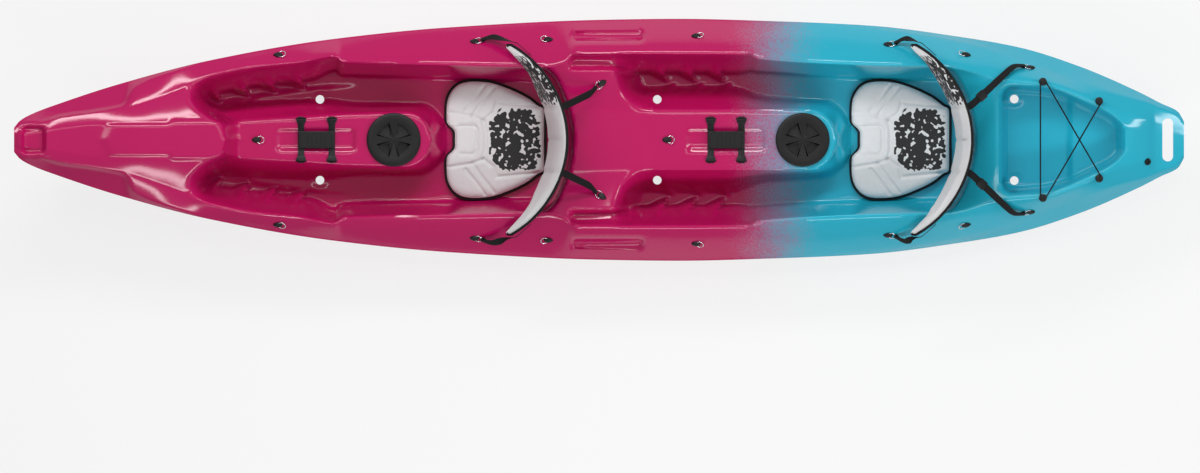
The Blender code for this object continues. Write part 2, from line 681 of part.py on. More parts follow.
def rib(name, side, x, inner, outer, floor, lift, collection):
    """A four-sided foot rest: its crest leans aft, from the wall down to the floor."""
    a = (x, side * inner[0], floor)
    b = (x + RIB_PITCH * 0.80, side * inner[1], floor)
    c = (x + RIB_PITCH * 0.92, side * outer[0], floor)
    top = (x + RIB_PITCH * 0.42, side * outer[1], lift)
    return new_object(name, mesh_of(name, [a, b, c, top], [(0, 1, 2), (0, 1, 3), (1, 2, 3), (2, 0, 3)]), collection)


def foot_rests(collection):
    """Ribs along the outer walls of the foot wells, and smaller ones beside the consoles."""
    outer, inner = [], []
    for n, cockpit in enumerate(COCKPITS):
        for i in range(cockpit.ribs):
            for side in (-1.0, 1.0):
                x = along(cockpit.first_rib) + i * RIB_PITCH
                u = np.array([station(x), station(x + RIB_PITCH * 0.80), station(x + RIB_PITCH * 0.42)])
                floors, rails = floor_track(u), rail_track(u)
                level = deck_at(x + RIB_PITCH * 0.6, float(between(console_foot_track(u[1:2]), floors[1:2], 0.7)[0]))
                low = level - RIB_SUNK
                top = float(between(level, rail_height(u[2:]), 0.70)[0])
                wall = float(between(floors[2], rails[2], 0.70)) + RIB_SUNK
                outer.append(rib(f"rest{n}{i}{side}", side, x, (floors[0] + RIB_SUNK, floors[1] + RIB_SUNK),
                                (floors[1] - RIB_REACH, wall), low, top, collection))
                if i == 0 and n == 0:
                    continue
                x = x + RIB_PITCH * 0.25
                u = np.array([station(x), station(x + RIB_PITCH * 0.80), station(x + RIB_PITCH * 0.42)])
                y_top, y_foot = cockpit.console_half_widths(u)
                wall = float(between(y_foot[2], y_top[2], 0.55)) - RIB_SUNK
                top = float(between(level, cockpit.console, 0.55))
                inner.append(rib(f"scallop{n}{i}{side}", side, x, (y_foot[0] - RIB_SUNK, y_foot[1] - RIB_SUNK),
                                (y_foot[1] + RIB_REACH * 0.5, wall), low - 0.001, top, collection))
    return joined("foot_rests", outer, collection), joined("console_rests", inner, collection)


def slot_cutter(name, length, width, x, bottom, top, collection):
    """An upright bar with round ends, wide across the hull, that cuts a hand slot."""
    radius = length / 2
    half = width / 2 - radius
    outline = []
    for side in (1.0, -1.0):
        for k in range(9):
            turn = math.pi * k / 8
            outline.append((x + side * radius * math.cos(turn), side * (half + radius * math.sin(turn))))
    rings = [[(px, py, z) for px, py in outline] for z in (bottom, top)]
    return new_object(name, loft(name, rings), collection)


def bow_slot_cutter(collection):
    """The finger slot under the bow's lip, a wedge that ends in a round root."""
    lip_under = keel_height(0.0) - 0.0005
    start, root = along(0.0) - 0.02, along(0.0) + BOW_SLOT_REACH
    middle = lip_under - 0.050
    outline = [(start, lip_under + 0.010), (root - 0.012, middle + BOW_SLOT_ROOT)]
    outline += [(root - 0.0035, middle + BOW_SLOT_ROOT * 0.55), (root, middle)]
    outline += [(root - 0.0035, middle - BOW_SLOT_ROOT * 0.4), (start + 0.046, lip_under - BOW_SLOT_MOUTH)]
    outline += [(start, lip_under - BOW_SLOT_MOUTH + 0.004)]
    rings = [[(x, y, z) for x, z in outline] for y in (-HALF_BEAM * 0.5, HALF_BEAM * 0.5)]
    return new_object("bow_slot_cutter", loft("bow_slot_cutter", rings), collection)


def triangulated(mesh):
    work = bmesh.new()
    work.from_mesh(mesh)
    bmesh.ops.triangulate(work, faces=work.faces, quad_method="SHORT_EDGE")
    work.to_mesh(mesh)
    work.free()
    return mesh


def make_hull(parts, cutters, material):
    hull = new_object("hull", triangulated(loft("hull", hull_rings())), parts, material)
    skin = BVHTree.FromPolygons([v.co.copy() for v in hull.data.vertices],
                                [tuple(p.vertices) for p in hull.data.polygons])
    cavity = hide(new_object("hull_cavity", loft("hull_cavity", cavity_rings()), cutters))
    boolean(hull, cavity, "DIFFERENCE")
    for ribs in foot_rests(cutters):
        boolean(hull, hide(ribs), "UNION")
    tubes, cuts = [], []
    for name, at, share in HOOKS:
        for side in (-1.0, 1.0):
            place = hook_place(skin, at, side * share * HALF_BEAM)
            tubes.append(cylinder(f"boss_{name}{side}", HOOK_BOSS_RADIUS, place.z - 0.022, place.z,
                                  place.x, place.y, cutters, 20))
    for i, (at, offset) in enumerate(SCUPPERS):
        for side in (-1.0, 1.0):
            x, y = along(at), side * offset
            floor = deck_at(x, y)
            base = float(bottom_height(np.array([[at]]), np.array([[offset]]))[0, 0])
            tubes.append(cylinder(f"tube_{i}{side}", SCUPPER_BORE_RADIUS + SCUPPER_TUBE_WALL,
                                  base + 0.003, floor - 0.005, x, y, cutters))
            cuts.append(cylinder(f"bore_{i}{side}", SCUPPER_BORE_RADIUS, base - 0.1,
                                 floor - SCUPPER_DISH_DEPTH - 0.001, x, y, cutters))
            cuts.append(cylinder(f"dish_{i}{side}", SCUPPER_DISH_RADIUS, floor - SCUPPER_DISH_DEPTH,
                                 floor + 0.05, x, y, cutters))
    boolean(hull, hide(joined("tubes_and_bosses", tubes, cutters)), "UNION")
    pockets = []
    for cockpit, at, recess in zip(COCKPITS, HATCH_STATIONS, (FRONT_RECESS_STATION, REAR_RECESS_STATION)):
        mouth = COLLAR_OUTER_RADIUS + HATCH_CLEARANCE
        cuts.append(cylinder(f"mouth_{at}", mouth, cockpit.console - HATCH_MOUTH_DEPTH, cockpit.console + 0.05,
                             along(at), 0.0, cutters, 40))
        pockets.append(pocket_cutter(f"recess_{recess}", along(recess), 0.0, CONSOLE_RECESS_LENGTH,
                                     CONSOLE_RECESS_WIDTH, 0.012, CONSOLE_RECESS_DEPTH, 0.004, cutters))
    for side in (-1.0, 1.0):
        pockets.append(pocket_cutter(f"side_handle_{side}", along(SIDE_HANDLE_STATION), side * SIDE_HANDLE_REACH,
                                     SIDE_HANDLE_LENGTH, SIDE_HANDLE_WIDTH, 0.018, SIDE_HANDLE_DEPTH, 0.006, cutters))
    pockets.append(pocket_cutter("bow_pocket", along(BOW_POCKET_STATION), 0.0, BOW_POCKET_LENGTH,
                                 BOW_POCKET_WIDTH, 0.018, BOW_POCKET_DEPTH, 0.010, cutters))
    pockets.append(slot_cutter("stern_slot", STERN_SLOT_LENGTH, STERN_SLOT_WIDTH,
                               along(STERN_SLOT_STATION), 0.1, 0.4, cutters))
    pockets.append(bow_slot_cutter(cutters))
    boolean(hull, hide(joined("hull_pockets", pockets, cutters)), "DIFFERENCE")
    dishes = [obj for obj in cuts if obj.name.startswith("dish")]
    bores = [obj for obj in cuts if not obj.name.startswith("dish")]
    boolean(hull, hide(joined("scupper_dishes", dishes, cutters)), "DIFFERENCE")
    for obj in bores:
        if obj.name.startswith("bore"):
            for vertex in obj.data.vertices:
                vertex.co.z += 0.05 if vertex.co.z > 0.05 else 0.0
    boolean(hull, hide(joined("hull_bores", bores, cutters)), "DIFFERENCE")
    shade(hull, 24.0)
    return hull, skin


# Fittings

def footprint(skin, x, y, radius):
    """Points of the hull under a round foot: its middle, then two rings of eight."""
    spots = [(0.0, 0.0)]
    for reach in (radius / 2, radius):
        spots += [(reach * math.cos(k * math.pi / 4), reach * math.sin(k * math.pi / 4)) for k in range(8)]
    down = Vector((0, 0, -1))
    return [skin.ray_cast(Vector((x + a, y + b, 1.0)), down)[0] for a, b in spots]


def footing(skin, x, y, radius):
    """Where a fitting of this radius stands on the hull: a point just clear of it, and the way up."""
    hits = footprint(skin, x, y, radius)
    middle, ring = hits[0], hits[9:]
    normal = Vector((0, 0, 0))
    for k in range(8):
        normal += (ring[k] - middle).cross(ring[(k + 1) % 8] - middle)
    normal.normalize()
    lift = max((hit - middle).dot(normal) for hit in hits)
    return middle + normal * (lift + GAP), normal


def frame_at(position, normal, heading):
    """A matrix whose Z is the normal and whose X points along the heading."""
    forward = (heading - normal * heading.dot(normal)).normalized()
    side = normal.cross(forward)
    turn = Matrix((forward, side, normal)).transposed()
    return Matrix.Translation(position) @ turn.to_4x4()


def turned(name, profile, collection, material, steps=32, closed=False):
    """A body turned about Z from a profile of (radius, height), top to bottom on its outer side."""
    mesh = bpy.data.meshes.new(name)
    edges = [(i, i + 1) for i in range(len(profile) - 1)]
    if closed:
        edges.append((len(profile) - 1, 0))
    mesh.from_pydata([(r, 0.0, z) for r, z in profile], edges, [])
    obj = new_object(name, mesh, collection, material)
    screw = obj.modifiers.new("turn", "SCREW")
    screw.steps = screw.render_steps = steps
    screw.use_merge_vertices = True
    screw.merge_threshold = 0.00005
    return obj


def ribbon(name, path, widths, sideways, collection, material, thickness=STRAP_THICKNESS):
    """Flat webbing along a path, with its own width and sideways direction at each point."""
    rings = []
    for i, point in enumerate(path):
        ahead = (path[min(i + 1, len(path) - 1)] - path[max(i - 1, 0)]).normalized()
        side = (sideways[i] - ahead * sideways[i].dot(ahead)).normalized()
        up = side.cross(ahead)
        across, deep = side * widths[i] / 2, up * thickness / 2
        rings.append([tuple(point + across * a + deep * b) for a, b in ((1, 1), (-1, 1), (-1, -1), (1, -1))])
    return new_object(name, loft(name, rings), collection, material)


def tube(name, path, radius, collection, material, sides=6):
    """A round cord along a path."""
    rings = []
    up = Vector((0, 0, 1))
    for i, point in enumerate(path):
        ahead = (path[min(i + 1, len(path) - 1)] - path[max(i - 1, 0)]).normalized()
        side = ahead.cross(up).normalized()
        top = side.cross(ahead)
        rings.append([tuple(point + (side * math.cos(t) + top * math.sin(t)) * radius)
                      for t in (2 * math.pi * k / sides for k in range(sides))])
    return new_object(name, loft(name, rings), collection, material)


# Hatches

def make_hatch(prefix, cockpit, at, parts, cutters, materials):
    """Rim let into the console, seal on the rim, and a lid with four finger pockets."""
    base = Vector((along(at), 0.0, cockpit.console + GAP))
    flange, collar = RIM_FLANGE_THICKNESS, COLLAR_OUTER_RADIUS - COLLAR_WALL
    rim = turned(f"{prefix}_hatch_rim", (
        (collar, flange), (RIM_FLANGE_RADIUS - 0.001, flange), (RIM_FLANGE_RADIUS, flange - 0.001),
        (RIM_FLANGE_RADIUS, 0.0), (COLLAR_OUTER_RADIUS, 0.0), (COLLAR_OUTER_RADIUS, -COLLAR_DEPTH),
        (collar, -COLLAR_DEPTH)), parts, materials["black_plastic"], 28, closed=True)
    rim.location = base
    low = flange + GAP
    seal = turned(f"{prefix}_hatch_seal", (
        (collar + 0.001, low + SEAL_THICKNESS), (RIM_FLANGE_RADIUS - 0.004, low + SEAL_THICKNESS),
        (RIM_FLANGE_RADIUS - 0.004, low), (collar + 0.001, low)),
        parts, materials["black_rubber"], 28, closed=True)
    seal.location = base
    under = low + SEAL_THICKNESS + GAP
    top, bowl = under + LID_PLATE, LID_BOWL_RADIUS + LID_SKIN
    skirt = LID_RADIUS - 0.0022
    lid = turned(f"{prefix}_hatch_lid", (
        (0.0, top), (LID_RADIUS - 0.002, top), (LID_RADIUS, top - 0.002), (LID_RADIUS, 0.0012),
        (skirt, 0.0012), (skirt, under), (bowl, under), (bowl - 0.002, under - LID_BOWL_DEPTH + LID_SKIN),
        (0.0, under - LID_BOWL_DEPTH + LID_SKIN)), parts, materials["black_plastic"])
    lid.location = base
    pockets = []
    for quarter in range(4):
        outline = []
        start = math.asin(LID_GRIP_BAR / 2 / LID_BOWL_RADIUS)
        for k in range(6):
            turn = start + (math.pi / 2 - 2 * start) * k / 5
            outline.append((LID_BOWL_RADIUS * math.cos(turn), LID_BOWL_RADIUS * math.sin(turn)))
        outline += [(LID_GRIP_BAR / 2, LID_GRIP_BAR), (LID_GRIP_BAR, LID_GRIP_BAR / 2)]
        turn = Matrix.Rotation(math.pi / 2 * quarter, 4, "Z")
        floor = under - LID_BOWL_DEPTH + 2 * LID_SKIN
        rings = [[tuple(turn @ Vector((px, py, z))) for px, py in outline] for z in (floor, top + 0.01)]
        pockets.append(new_object(f"pocket_{quarter}", loft(f"pocket_{quarter}", rings), cutters))
    cutter = hide(joined(f"{prefix}_lid_pockets", pockets, cutters))
    cutter.location = base
    boolean(lid, cutter, "DIFFERENCE")
    for obj in (rim, seal, lid):
        shade(obj)


# Seats

def backrest_point(cockpit, y, share, out=0.0):
    """A point on the backrest's rear face, moved outwards along its normal."""
    t = abs(y) / BACKREST_HALF_WIDTH
    wrap = BACKREST_WRAP * (0.90 * t**2 + 0.10 * t**6)
    slope = BACKREST_WRAP * (1.80 * t + 0.60 * t**5) / BACKREST_HALF_WIDTH
    normal = Vector((1.0, math.copysign(slope, y), 0.0)).normalized()
    low, high = backrest_edges(cockpit, abs(y))
    z = low + (high - low) * share
    foot = cockpit.floor + BACKREST_FOOT_LIFT
    drop = (cockpit.backrest_top - z) / (cockpit.backrest_top - foot)
    x = along(cockpit.seat) + BACKREST_REACH - wrap - BACKREST_LEAN * drop
    return Vector((x, y, z)) + normal * out


def backrest_edges(cockpit, y):
    """Lower and upper edge of the backrest at an offset, kept clear of the deck under it."""
    t = min(y / BACKREST_HALF_WIDTH, 1.0)
    x = along(cockpit.seat) + BACKREST_REACH - BACKREST_WRAP * (0.90 * t**2 + 0.10 * t**6)
    rise = rail_height(cockpit.seat) - rail_height(FRONT_SEAT_STATION)
    below = max(deck_at(x + reach, max(y + aside, 0.0)) for reach in (-0.075, -0.050, -0.025, 0.0)
                for aside in (-0.020, -0.010, 0.0, 0.010, 0.018))
    low = max(cockpit.floor + BACKREST_FOOT_LIFT, below + BACKREST_RAIL_CLEARANCE)
    peak = cockpit.backrest_top
    tip = BACKREST_TIP_TOP + float(rise)
    high = tip + (peak - tip) * (1 - t**2.2)
    return low, max(high, low + BACKREST_TIP_HEIGHT)


def make_backrest(prefix, cockpit, parts, materials):
    """Padded panel that wraps round the paddler, and the black shell behind it."""
    columns = [BACKREST_HALF_WIDTH * math.sin(math.pi / 2 * k / 9) for k in range(-9, 10)]
    shares = (0.0, 0.04, 0.20, 0.50, 0.80, 0.96, 1.0)
    pad, shell = [], []
    for y in columns:
        end = 1 - (abs(y) / BACKREST_HALF_WIDTH) ** 8
        fold = math.exp(-((abs(y) - BACKREST_FOLD) / 0.012) ** 2)
        front = []
        for share in shares:
            crown = (1 - abs(2 * share - 1) ** 5) * (0.35 + 0.65 * end)
            depth = BACKREST_PAD * (0.45 + 0.75 * crown - 0.25 * fold * crown)
            front.append(tuple(backrest_point(cockpit, y, 0.015 + 0.97 * share, -depth)))
        back = [tuple(backrest_point(cockpit, y, 0.015 + 0.97 * share)) for share in reversed(shares)]
        pad.append(front + back)
        inner = [tuple(backrest_point(cockpit, y, share, GAP)) for share in shares[::2]]
        outer = [tuple(backrest_point(cockpit, y, share, GAP + BACKREST_SHELL)) for share in reversed(shares[::2])]
        shell.append(inner + outer)
    name = f"{prefix}_backrest"
    shade(new_object(f"{name}_pad", loft(f"{name}_pad", pad), parts, materials["foam"]), 50.0)
    shade(new_object(f"{name}_shell", loft(f"{name}_shell", shell), parts, materials["backing"]), 50.0)


def seat_outline():
    """The seat seen from above, about its middle: a notched front and a narrower back."""
    half, front, notch = SEAT_HALF_WIDTH, -SEAT_LENGTH / 2, SEAT_NOTCH_HALF_WIDTH
    rear = SEAT_REAR_HALF_WIDTH
    right = [(front + SEAT_NOTCH_DEPTH, 0.0), (front + SEAT_NOTCH_DEPTH, notch * 0.6),
             (front + SEAT_NOTCH_DEPTH * 0.75, notch * 0.9), (front + SEAT_NOTCH_DEPTH * 0.2, notch * 1.25),
             (front, notch * 1.6), (front + 0.002, half * 0.62), (front + 0.014, half * 0.80),
             (front + 0.040, half * 0.94), (front + 0.080, half), (front + 0.150, half * 0.985),
             (front + 0.215, between(rear, half, 0.72)), (front + 0.280, between(rear, half, 0.35)),
             (-front - 0.022, rear), (-front - 0.006, rear * 0.94), (-front, rear * 0.80), (-front, 0.0)]
    return right + [(x, -y) for x, y in right[-2:0:-1]]


def make_seat_pad(prefix, cockpit, parts, materials):
    """Seat cushion: drawn-in sides, a raised bolster round it, a channel, and a crowned middle."""
    outline = seat_outline()
    thick = SEAT_THICKNESS
    steps = ((0.960, 0.0), (1.0, 0.35), (0.985, 0.78), (0.920, 1.0), (0.780, 0.95), (0.745, 0.76),
             (0.700, 0.76), (0.660, 0.90), (0.300, 0.98))
    base = (along(cockpit.seat) - SEAT_FORWARD, 0.0, cockpit.floor + GAP)
    rings = [[(base[0] + x * scale, y * scale, base[2] + thick * lift) for x, y in outline]
             for scale, lift in steps]
    shade(new_object(f"{prefix}_seat_pad", loft(f"{prefix}_seat_pad", rings), parts, materials["foam"]), 50.0)


# Eyes and straps

def eye_mesh(cutters):
    """Teardrop base with a wire loop set in its round end, loop along +X, foot at Z 0."""
    count = 10
    outline = []
    for k in range(count):
        turn = 2 * math.pi * k / count
        point = 1.0 - 0.45 * max(-math.cos(turn), 0.0) ** 2
        outline.append((EYE_LENGTH / 2 * math.cos(turn), EYE_WIDTH / 2 * math.sin(turn) * point))
    steps = ((1.0, 0.0), (1.0, 0.45), (0.70, 1.0))
    rings = [[(x * scale, y * scale, EYE_THICKNESS * lift) for x, y in outline] for scale, lift in steps]
    base = new_object("eye_base", loft("eye_base", rings), cutters)
    work = bmesh.new()
    middle, lean = eye_loop()
    around, section = 12, 4
    for i in range(around):
        turn = 2 * math.pi * i / around
        for j in range(section):
            bend = 2 * math.pi * j / section
            reach = EYE_LOOP_RADIUS + EYE_WIRE_RADIUS * math.cos(bend)
            spot = Vector((reach * math.cos(turn), reach * math.sin(turn), EYE_WIRE_RADIUS * math.sin(bend)))
            work.verts.new(middle + lean @ spot)
    work.verts.ensure_lookup_table()
    for i in range(around):
        for j in range(section):
            a, b = i * section, (i + 1) % around * section
            k = (j + 1) % section
            work.faces.new([work.verts[v] for v in (a + j, b + j, b + k, a + k)])
    bmesh.ops.recalc_face_normals(work, faces=work.faces)
    mesh = bpy.data.meshes.new("eye_loop")
    work.to_mesh(mesh)
    work.free()
    loop = new_object("eye_loop", mesh, cutters)
    boolean(base, loop, "UNION")
    joint = evaluated_mesh(base)
    for obj in (base, loop):
        bpy.data.objects.remove(obj)
    joint.name = "deck_eye"
    return joint


def eye_loop():
    """Middle of the wire loop in the eye's own frame, and its lean away from the deck."""
    middle = Vector((EYE_LENGTH / 2 - EYE_LOOP_SET_BACK, 0.0, EYE_LOOP_HEIGHT))
    return middle, Matrix.Rotation(-EYE_LOOP_LEAN, 3, "Y")


def make_eye(name, mesh, skin, x, y, heading, parts, material):
    position, normal = footing(skin, x, y, EYE_LENGTH * 0.6)
    obj = new_object(name, mesh.copy(), parts, material)
    obj.matrix_world = frame_at(position, normal, heading)
    shade(obj, 40.0)
    return obj


def hairpin(eye, towards):
    """The end of a strap through an eye: sewn tail, round the wire and out again."""
    middle, lean = eye_loop()
    matrix = eye.matrix_world
    bar = matrix @ (middle + lean @ Vector((EYE_LOOP_RADIUS, 0.0, 0.0)))
    side = -(matrix.to_3x3() @ Vector((0, 1, 0)))
    ahead = towards - bar
    ahead = (ahead - side * side.dot(ahead)).normalized()
    up = side.cross(ahead)
    reach = EYE_WIRE_RADIUS + STRAP_THICKNESS / 2 + STRAP_SLACK
    layer = reach - STRAP_THICKNESS - GAP
    flat = [(0.036, layer), (0.026, layer), (0.016, layer - 0.0004), (0.006, -reach)]
    bend = [(-reach * math.sin(t), -reach * math.cos(t)) for t in (math.pi * k / 6 for k in range(7))]
    out = [(0.008, reach), (0.018, reach), (0.040, reach)]
    path = [bar + ahead * a + up * b for a, b in flat + bend + out]
    widths = [STRAP_GATHERED] * (len(flat) + len(bend)) + [0.012, 0.016, STRAP_WIDTH]
    return path, widths, [side] * len(path)


def drape(start, end, side, count=7):
    """A taut path from start to end that passes just over the deck between them."""
    places = [start.lerp(end, i / (count - 1)) for i in range(count)]
    levels = [start.z]
    for place in places[1:-1]:
        ground = max(deck_at(place.x, abs(place.y) + aside) for aside in (-0.013, 0.0, 0.013))
        levels.append(max(place.z, ground + STRAP_CLEARANCE))
    levels.append(end.z)
    for i in range(1, count - 1):
        chords = [levels[j] + (levels[k] - levels[j]) * (i - j) / (k - j)
                  for j in range(i) for k in range(i + 1, count)]
        levels[i] = max([levels[i]] + chords)
    return [Vector((place.x, place.y, level)) for place, level in zip(places, levels)]


def fore_strap(name, eye, cockpit, side, parts, material):
    """From a rail eye to the tip of the backrest, twisting to lie flat on its shell."""
    out = GAP * 2 + BACKREST_SHELL + STRAP_THICKNESS / 2
    tip = [backrest_point(cockpit, side * BACKREST_HALF_WIDTH * t, 0.52, out + 0.0022) for t in (0.995, 0.94, 0.88)]
    tip.insert(0, tip[0] + Vector((-0.0060, side * 0.0030, 0.0)))
    start = tip[0] + Vector((-0.010, side * 0.0015, 0.0))
    path, widths, sides = hairpin(eye, start)
    upright, first = Vector((0, 0, 1)), sides[-1]
    draped = drape(path[-1], start, side)
    for i, point in enumerate(draped[1:], 1):
        path.append(point)
        widths.append(STRAP_WIDTH)
        angle = float(smooth(i / (len(draped) - 1))) * math.pi / 2
        sides.append((first * math.cos(angle) + upright * math.sin(angle)).normalized())
    path += tip
    widths += [STRAP_WIDTH] * len(tip)
    sides += [upright] * len(tip)
    return ribbon(name, path, widths, sides, parts, material)


def aft_strap(name, eye, cockpit, side, parts, material):
    """From a deck eye behind the seat to the back of the shell, its end turned down against it."""
    out = GAP * 2 + BACKREST_SHELL + STRAP_THICKNESS / 2
    y = side * AFT_STRAP_OFFSET
    share = cockpit.strap_share
    face = [backrest_point(cockpit, y, share - drop, out) for drop in (0.012, 0.045, 0.09)]
    normal = (backrest_point(cockpit, y, share, 1.0) - backrest_point(cockpit, y, share)).normalized()
    bend = [backrest_point(cockpit, y, share + 0.006, out + 0.0015), backrest_point(cockpit, y, share + 0.012, out + 0.006)]
    start = bend[1] + normal * 0.012
    path, widths, sides = hairpin(eye, aim_over_deck(eye, start, side))
    last = path[-1]
    tangent = normal.cross(Vector((0, 0, 1))).normalized()
    if tangent.dot(sides[-1]) < 0:
        tangent = -tangent
    first = sides[-1]
    draped = drape(last, start, side)
    for i, point in enumerate(draped[1:], 1):
        t = i / (len(draped) - 1)
        path.append(point)
        widths.append(STRAP_WIDTH)
        sides.append((first * (1 - t) + tangent * t).normalized())
    path += [bend[1], bend[0]] + face
    widths += [STRAP_WIDTH] * 5
    sides += [tangent] * 5
    ribbon(name, path, widths, sides, parts, material)
    return draped[-3], draped[-2], (first * 0.25 + tangent * 0.75).normalized()


def aim_over_deck(eye, target, side):
    """Where the strap heads as it leaves its eye: the target, or higher if the deck is in the way."""
    start = eye.matrix_world.translation
    path = drape(start + Vector((0, 0, 0.010)), target, side)
    steepest = max((point - path[0]).normalized().z for point in path[1:])
    flat = Vector((target.x - start.x, target.y - start.y, 0.0))
    lift = flat.length * steepest / math.sqrt(1 - steepest**2)
    return Vector((target.x, target.y, path[0].z + lift))


def make_buckle(name, before, after, across, parts, cutters, material):
    """Ladder lock that the strap runs through near the backrest."""
    middle = before.lerp(after, 0.5)
    ahead = (after - before).normalized()
    across = (across - ahead * across.dot(ahead)).normalized()
    matrix = Matrix((ahead, across, ahead.cross(across))).transposed().to_4x4()
    outline = rounded_outline(BUCKLE_LENGTH, BUCKLE_WIDTH, 0.005)
    rings = [[(x * s, y * s, z) for x, y in outline] for s, z in (
        (0.94, -BUCKLE_THICKNESS / 2), (1.0, -BUCKLE_THICKNESS / 2 + 0.001),
        (1.0, BUCKLE_THICKNESS / 2 - 0.001), (0.94, BUCKLE_THICKNESS / 2))]
    buckle = new_object(name, loft(name, rings), parts, material)
    buckle.matrix_world = Matrix.Translation(middle) @ matrix
    slot = [[(x, y, z) for x, y in ((1, -1), (1, 1), (-1, 1), (-1, -1))] for z in (-1, 1)]
    size = (BUCKLE_LENGTH, STRAP_WIDTH / 2 + 0.0012, STRAP_THICKNESS / 2 + 0.0010)
    slot = [[tuple(c * s for c, s in zip(p, size)) for p in ring] for ring in slot]
    cutter = hide(new_object(f"{name}_slot", loft(f"{name}_slot", slot), cutters))
    cutter.matrix_world = buckle.matrix_world.copy()
    boolean(buckle, cutter, "DIFFERENCE")
    return buckle


def make_straps(eyes, parts, cutters, materials):
    for prefix, cockpit, fore, aft in (("front", COCKPITS[0], "front_strap", "front_back_strap"),
                                       ("rear", COCKPITS[1], "rear_strap", "rear_back_strap")):
        for hand, side in (("left", -1.0), ("right", 1.0)):
            fore_strap(f"{prefix}_seat_{hand}_fore_strap", eyes[fore, hand], cockpit, side, parts, materials["webbing"])
            before, after, across = aft_strap(
                f"{prefix}_seat_{hand}_aft_strap", eyes[aft, hand], cockpit, side, parts, materials["webbing"])
            if prefix == "rear":
                make_buckle(f"{prefix}_seat_{hand}_buckle", before, after, across,
                            parts, cutters, materials["black_plastic"])


def make_eyes(skin, parts, cutters, materials):
    mesh = eye_mesh(cutters)
    eyes = {}
    for name, at, share, way in SIDE_EYES:
        for hand, side in (("left", -1.0), ("right", 1.0)):
            heading = Vector((way, 0.0, 0.0))
            if name.endswith("back_strap"):
                cockpit = COCKPITS[0] if name.startswith("front") else COCKPITS[1]
                target = backrest_point(cockpit, side * AFT_STRAP_OFFSET, cockpit.strap_share)
                heading = target - Vector((along(at), side * share * HALF_BEAM, target.z))
            eyes[name, hand] = make_eye(f"eye_{name}_{hand}", mesh, skin, along(at), side * share * HALF_BEAM,
                                        heading, parts, materials["black_plastic"])
    for name, at in CENTRE_EYES:
        make_eye(name, mesh, skin, along(at), 0.0, Vector((1.0, 0.0, 0.0)), parts, materials["black_plastic"])
    return eyes


# Console straps

def make_console_straps(prefix, cockpit, at, parts, materials):
    """Two webbing straps with a clip at each end, and the block that joins them."""
    half, thick = CONSOLE_STRAP_WIDTH / 2, CONSOLE_STRAP_THICKNESS
    reach, length = CONSOLE_STRAP_REACH, CLIP_LENGTH
    steps = ((reach, half, thick), (reach - 0.004, half, thick), (reach - 0.005, CLIP_WIDTH / 2, CLIP_THICKNESS * 0.6),
             (reach - 0.010, CLIP_WIDTH / 2, CLIP_THICKNESS), (reach - length, half * 1.05, CLIP_THICKNESS * 0.8),
             (reach - length - 0.001, half, thick), (0.0, half, thick))
    profile = [(-y, w, t) for y, w, t in steps] + [(y, w, t) for y, w, t in reversed(steps[:-1])]
    base = cockpit.console + GAP
    for name, side in (("fore", -1.0), ("aft", 1.0)):
        x = along(at) + side * CONSOLE_STRAP_SPACING / 2
        rings = [[(x - w, y, base), (x + w, y, base), (x + w, y, base + t), (x - w, y, base + t)]
                 for y, w, t in profile]
        full = f"{prefix}_console_strap_{name}"
        new_object(full, loft(full, rings), parts, materials["webbing"])
    low = base + thick + GAP
    outline = rounded_outline(CONSOLE_BLOCK_LENGTH, CONSOLE_BLOCK_WIDTH, 0.006)
    rings = [[(along(at) + x * s, y * s, low + CONSOLE_BLOCK_THICKNESS * z) for x, y in outline]
             for s, z in ((0.985, 0.0), (1.0, 0.15), (1.0, 0.7), (0.96, 1.0), (0.86, 1.0), (0.84, 0.82))]
    full = f"{prefix}_console_block"
    new_object(full, loft(full, rings), parts, materials["black_plastic"])


# Bungee and drain

def hook_place(skin, at, y):
    """Top of the flat boss that a hook stands on."""
    hits = footprint(skin, along(at), y, HOOK_BOSS_RADIUS * 1.3)
    return Vector((along(at), y, max(hit.z for hit in hits) + 0.0026))


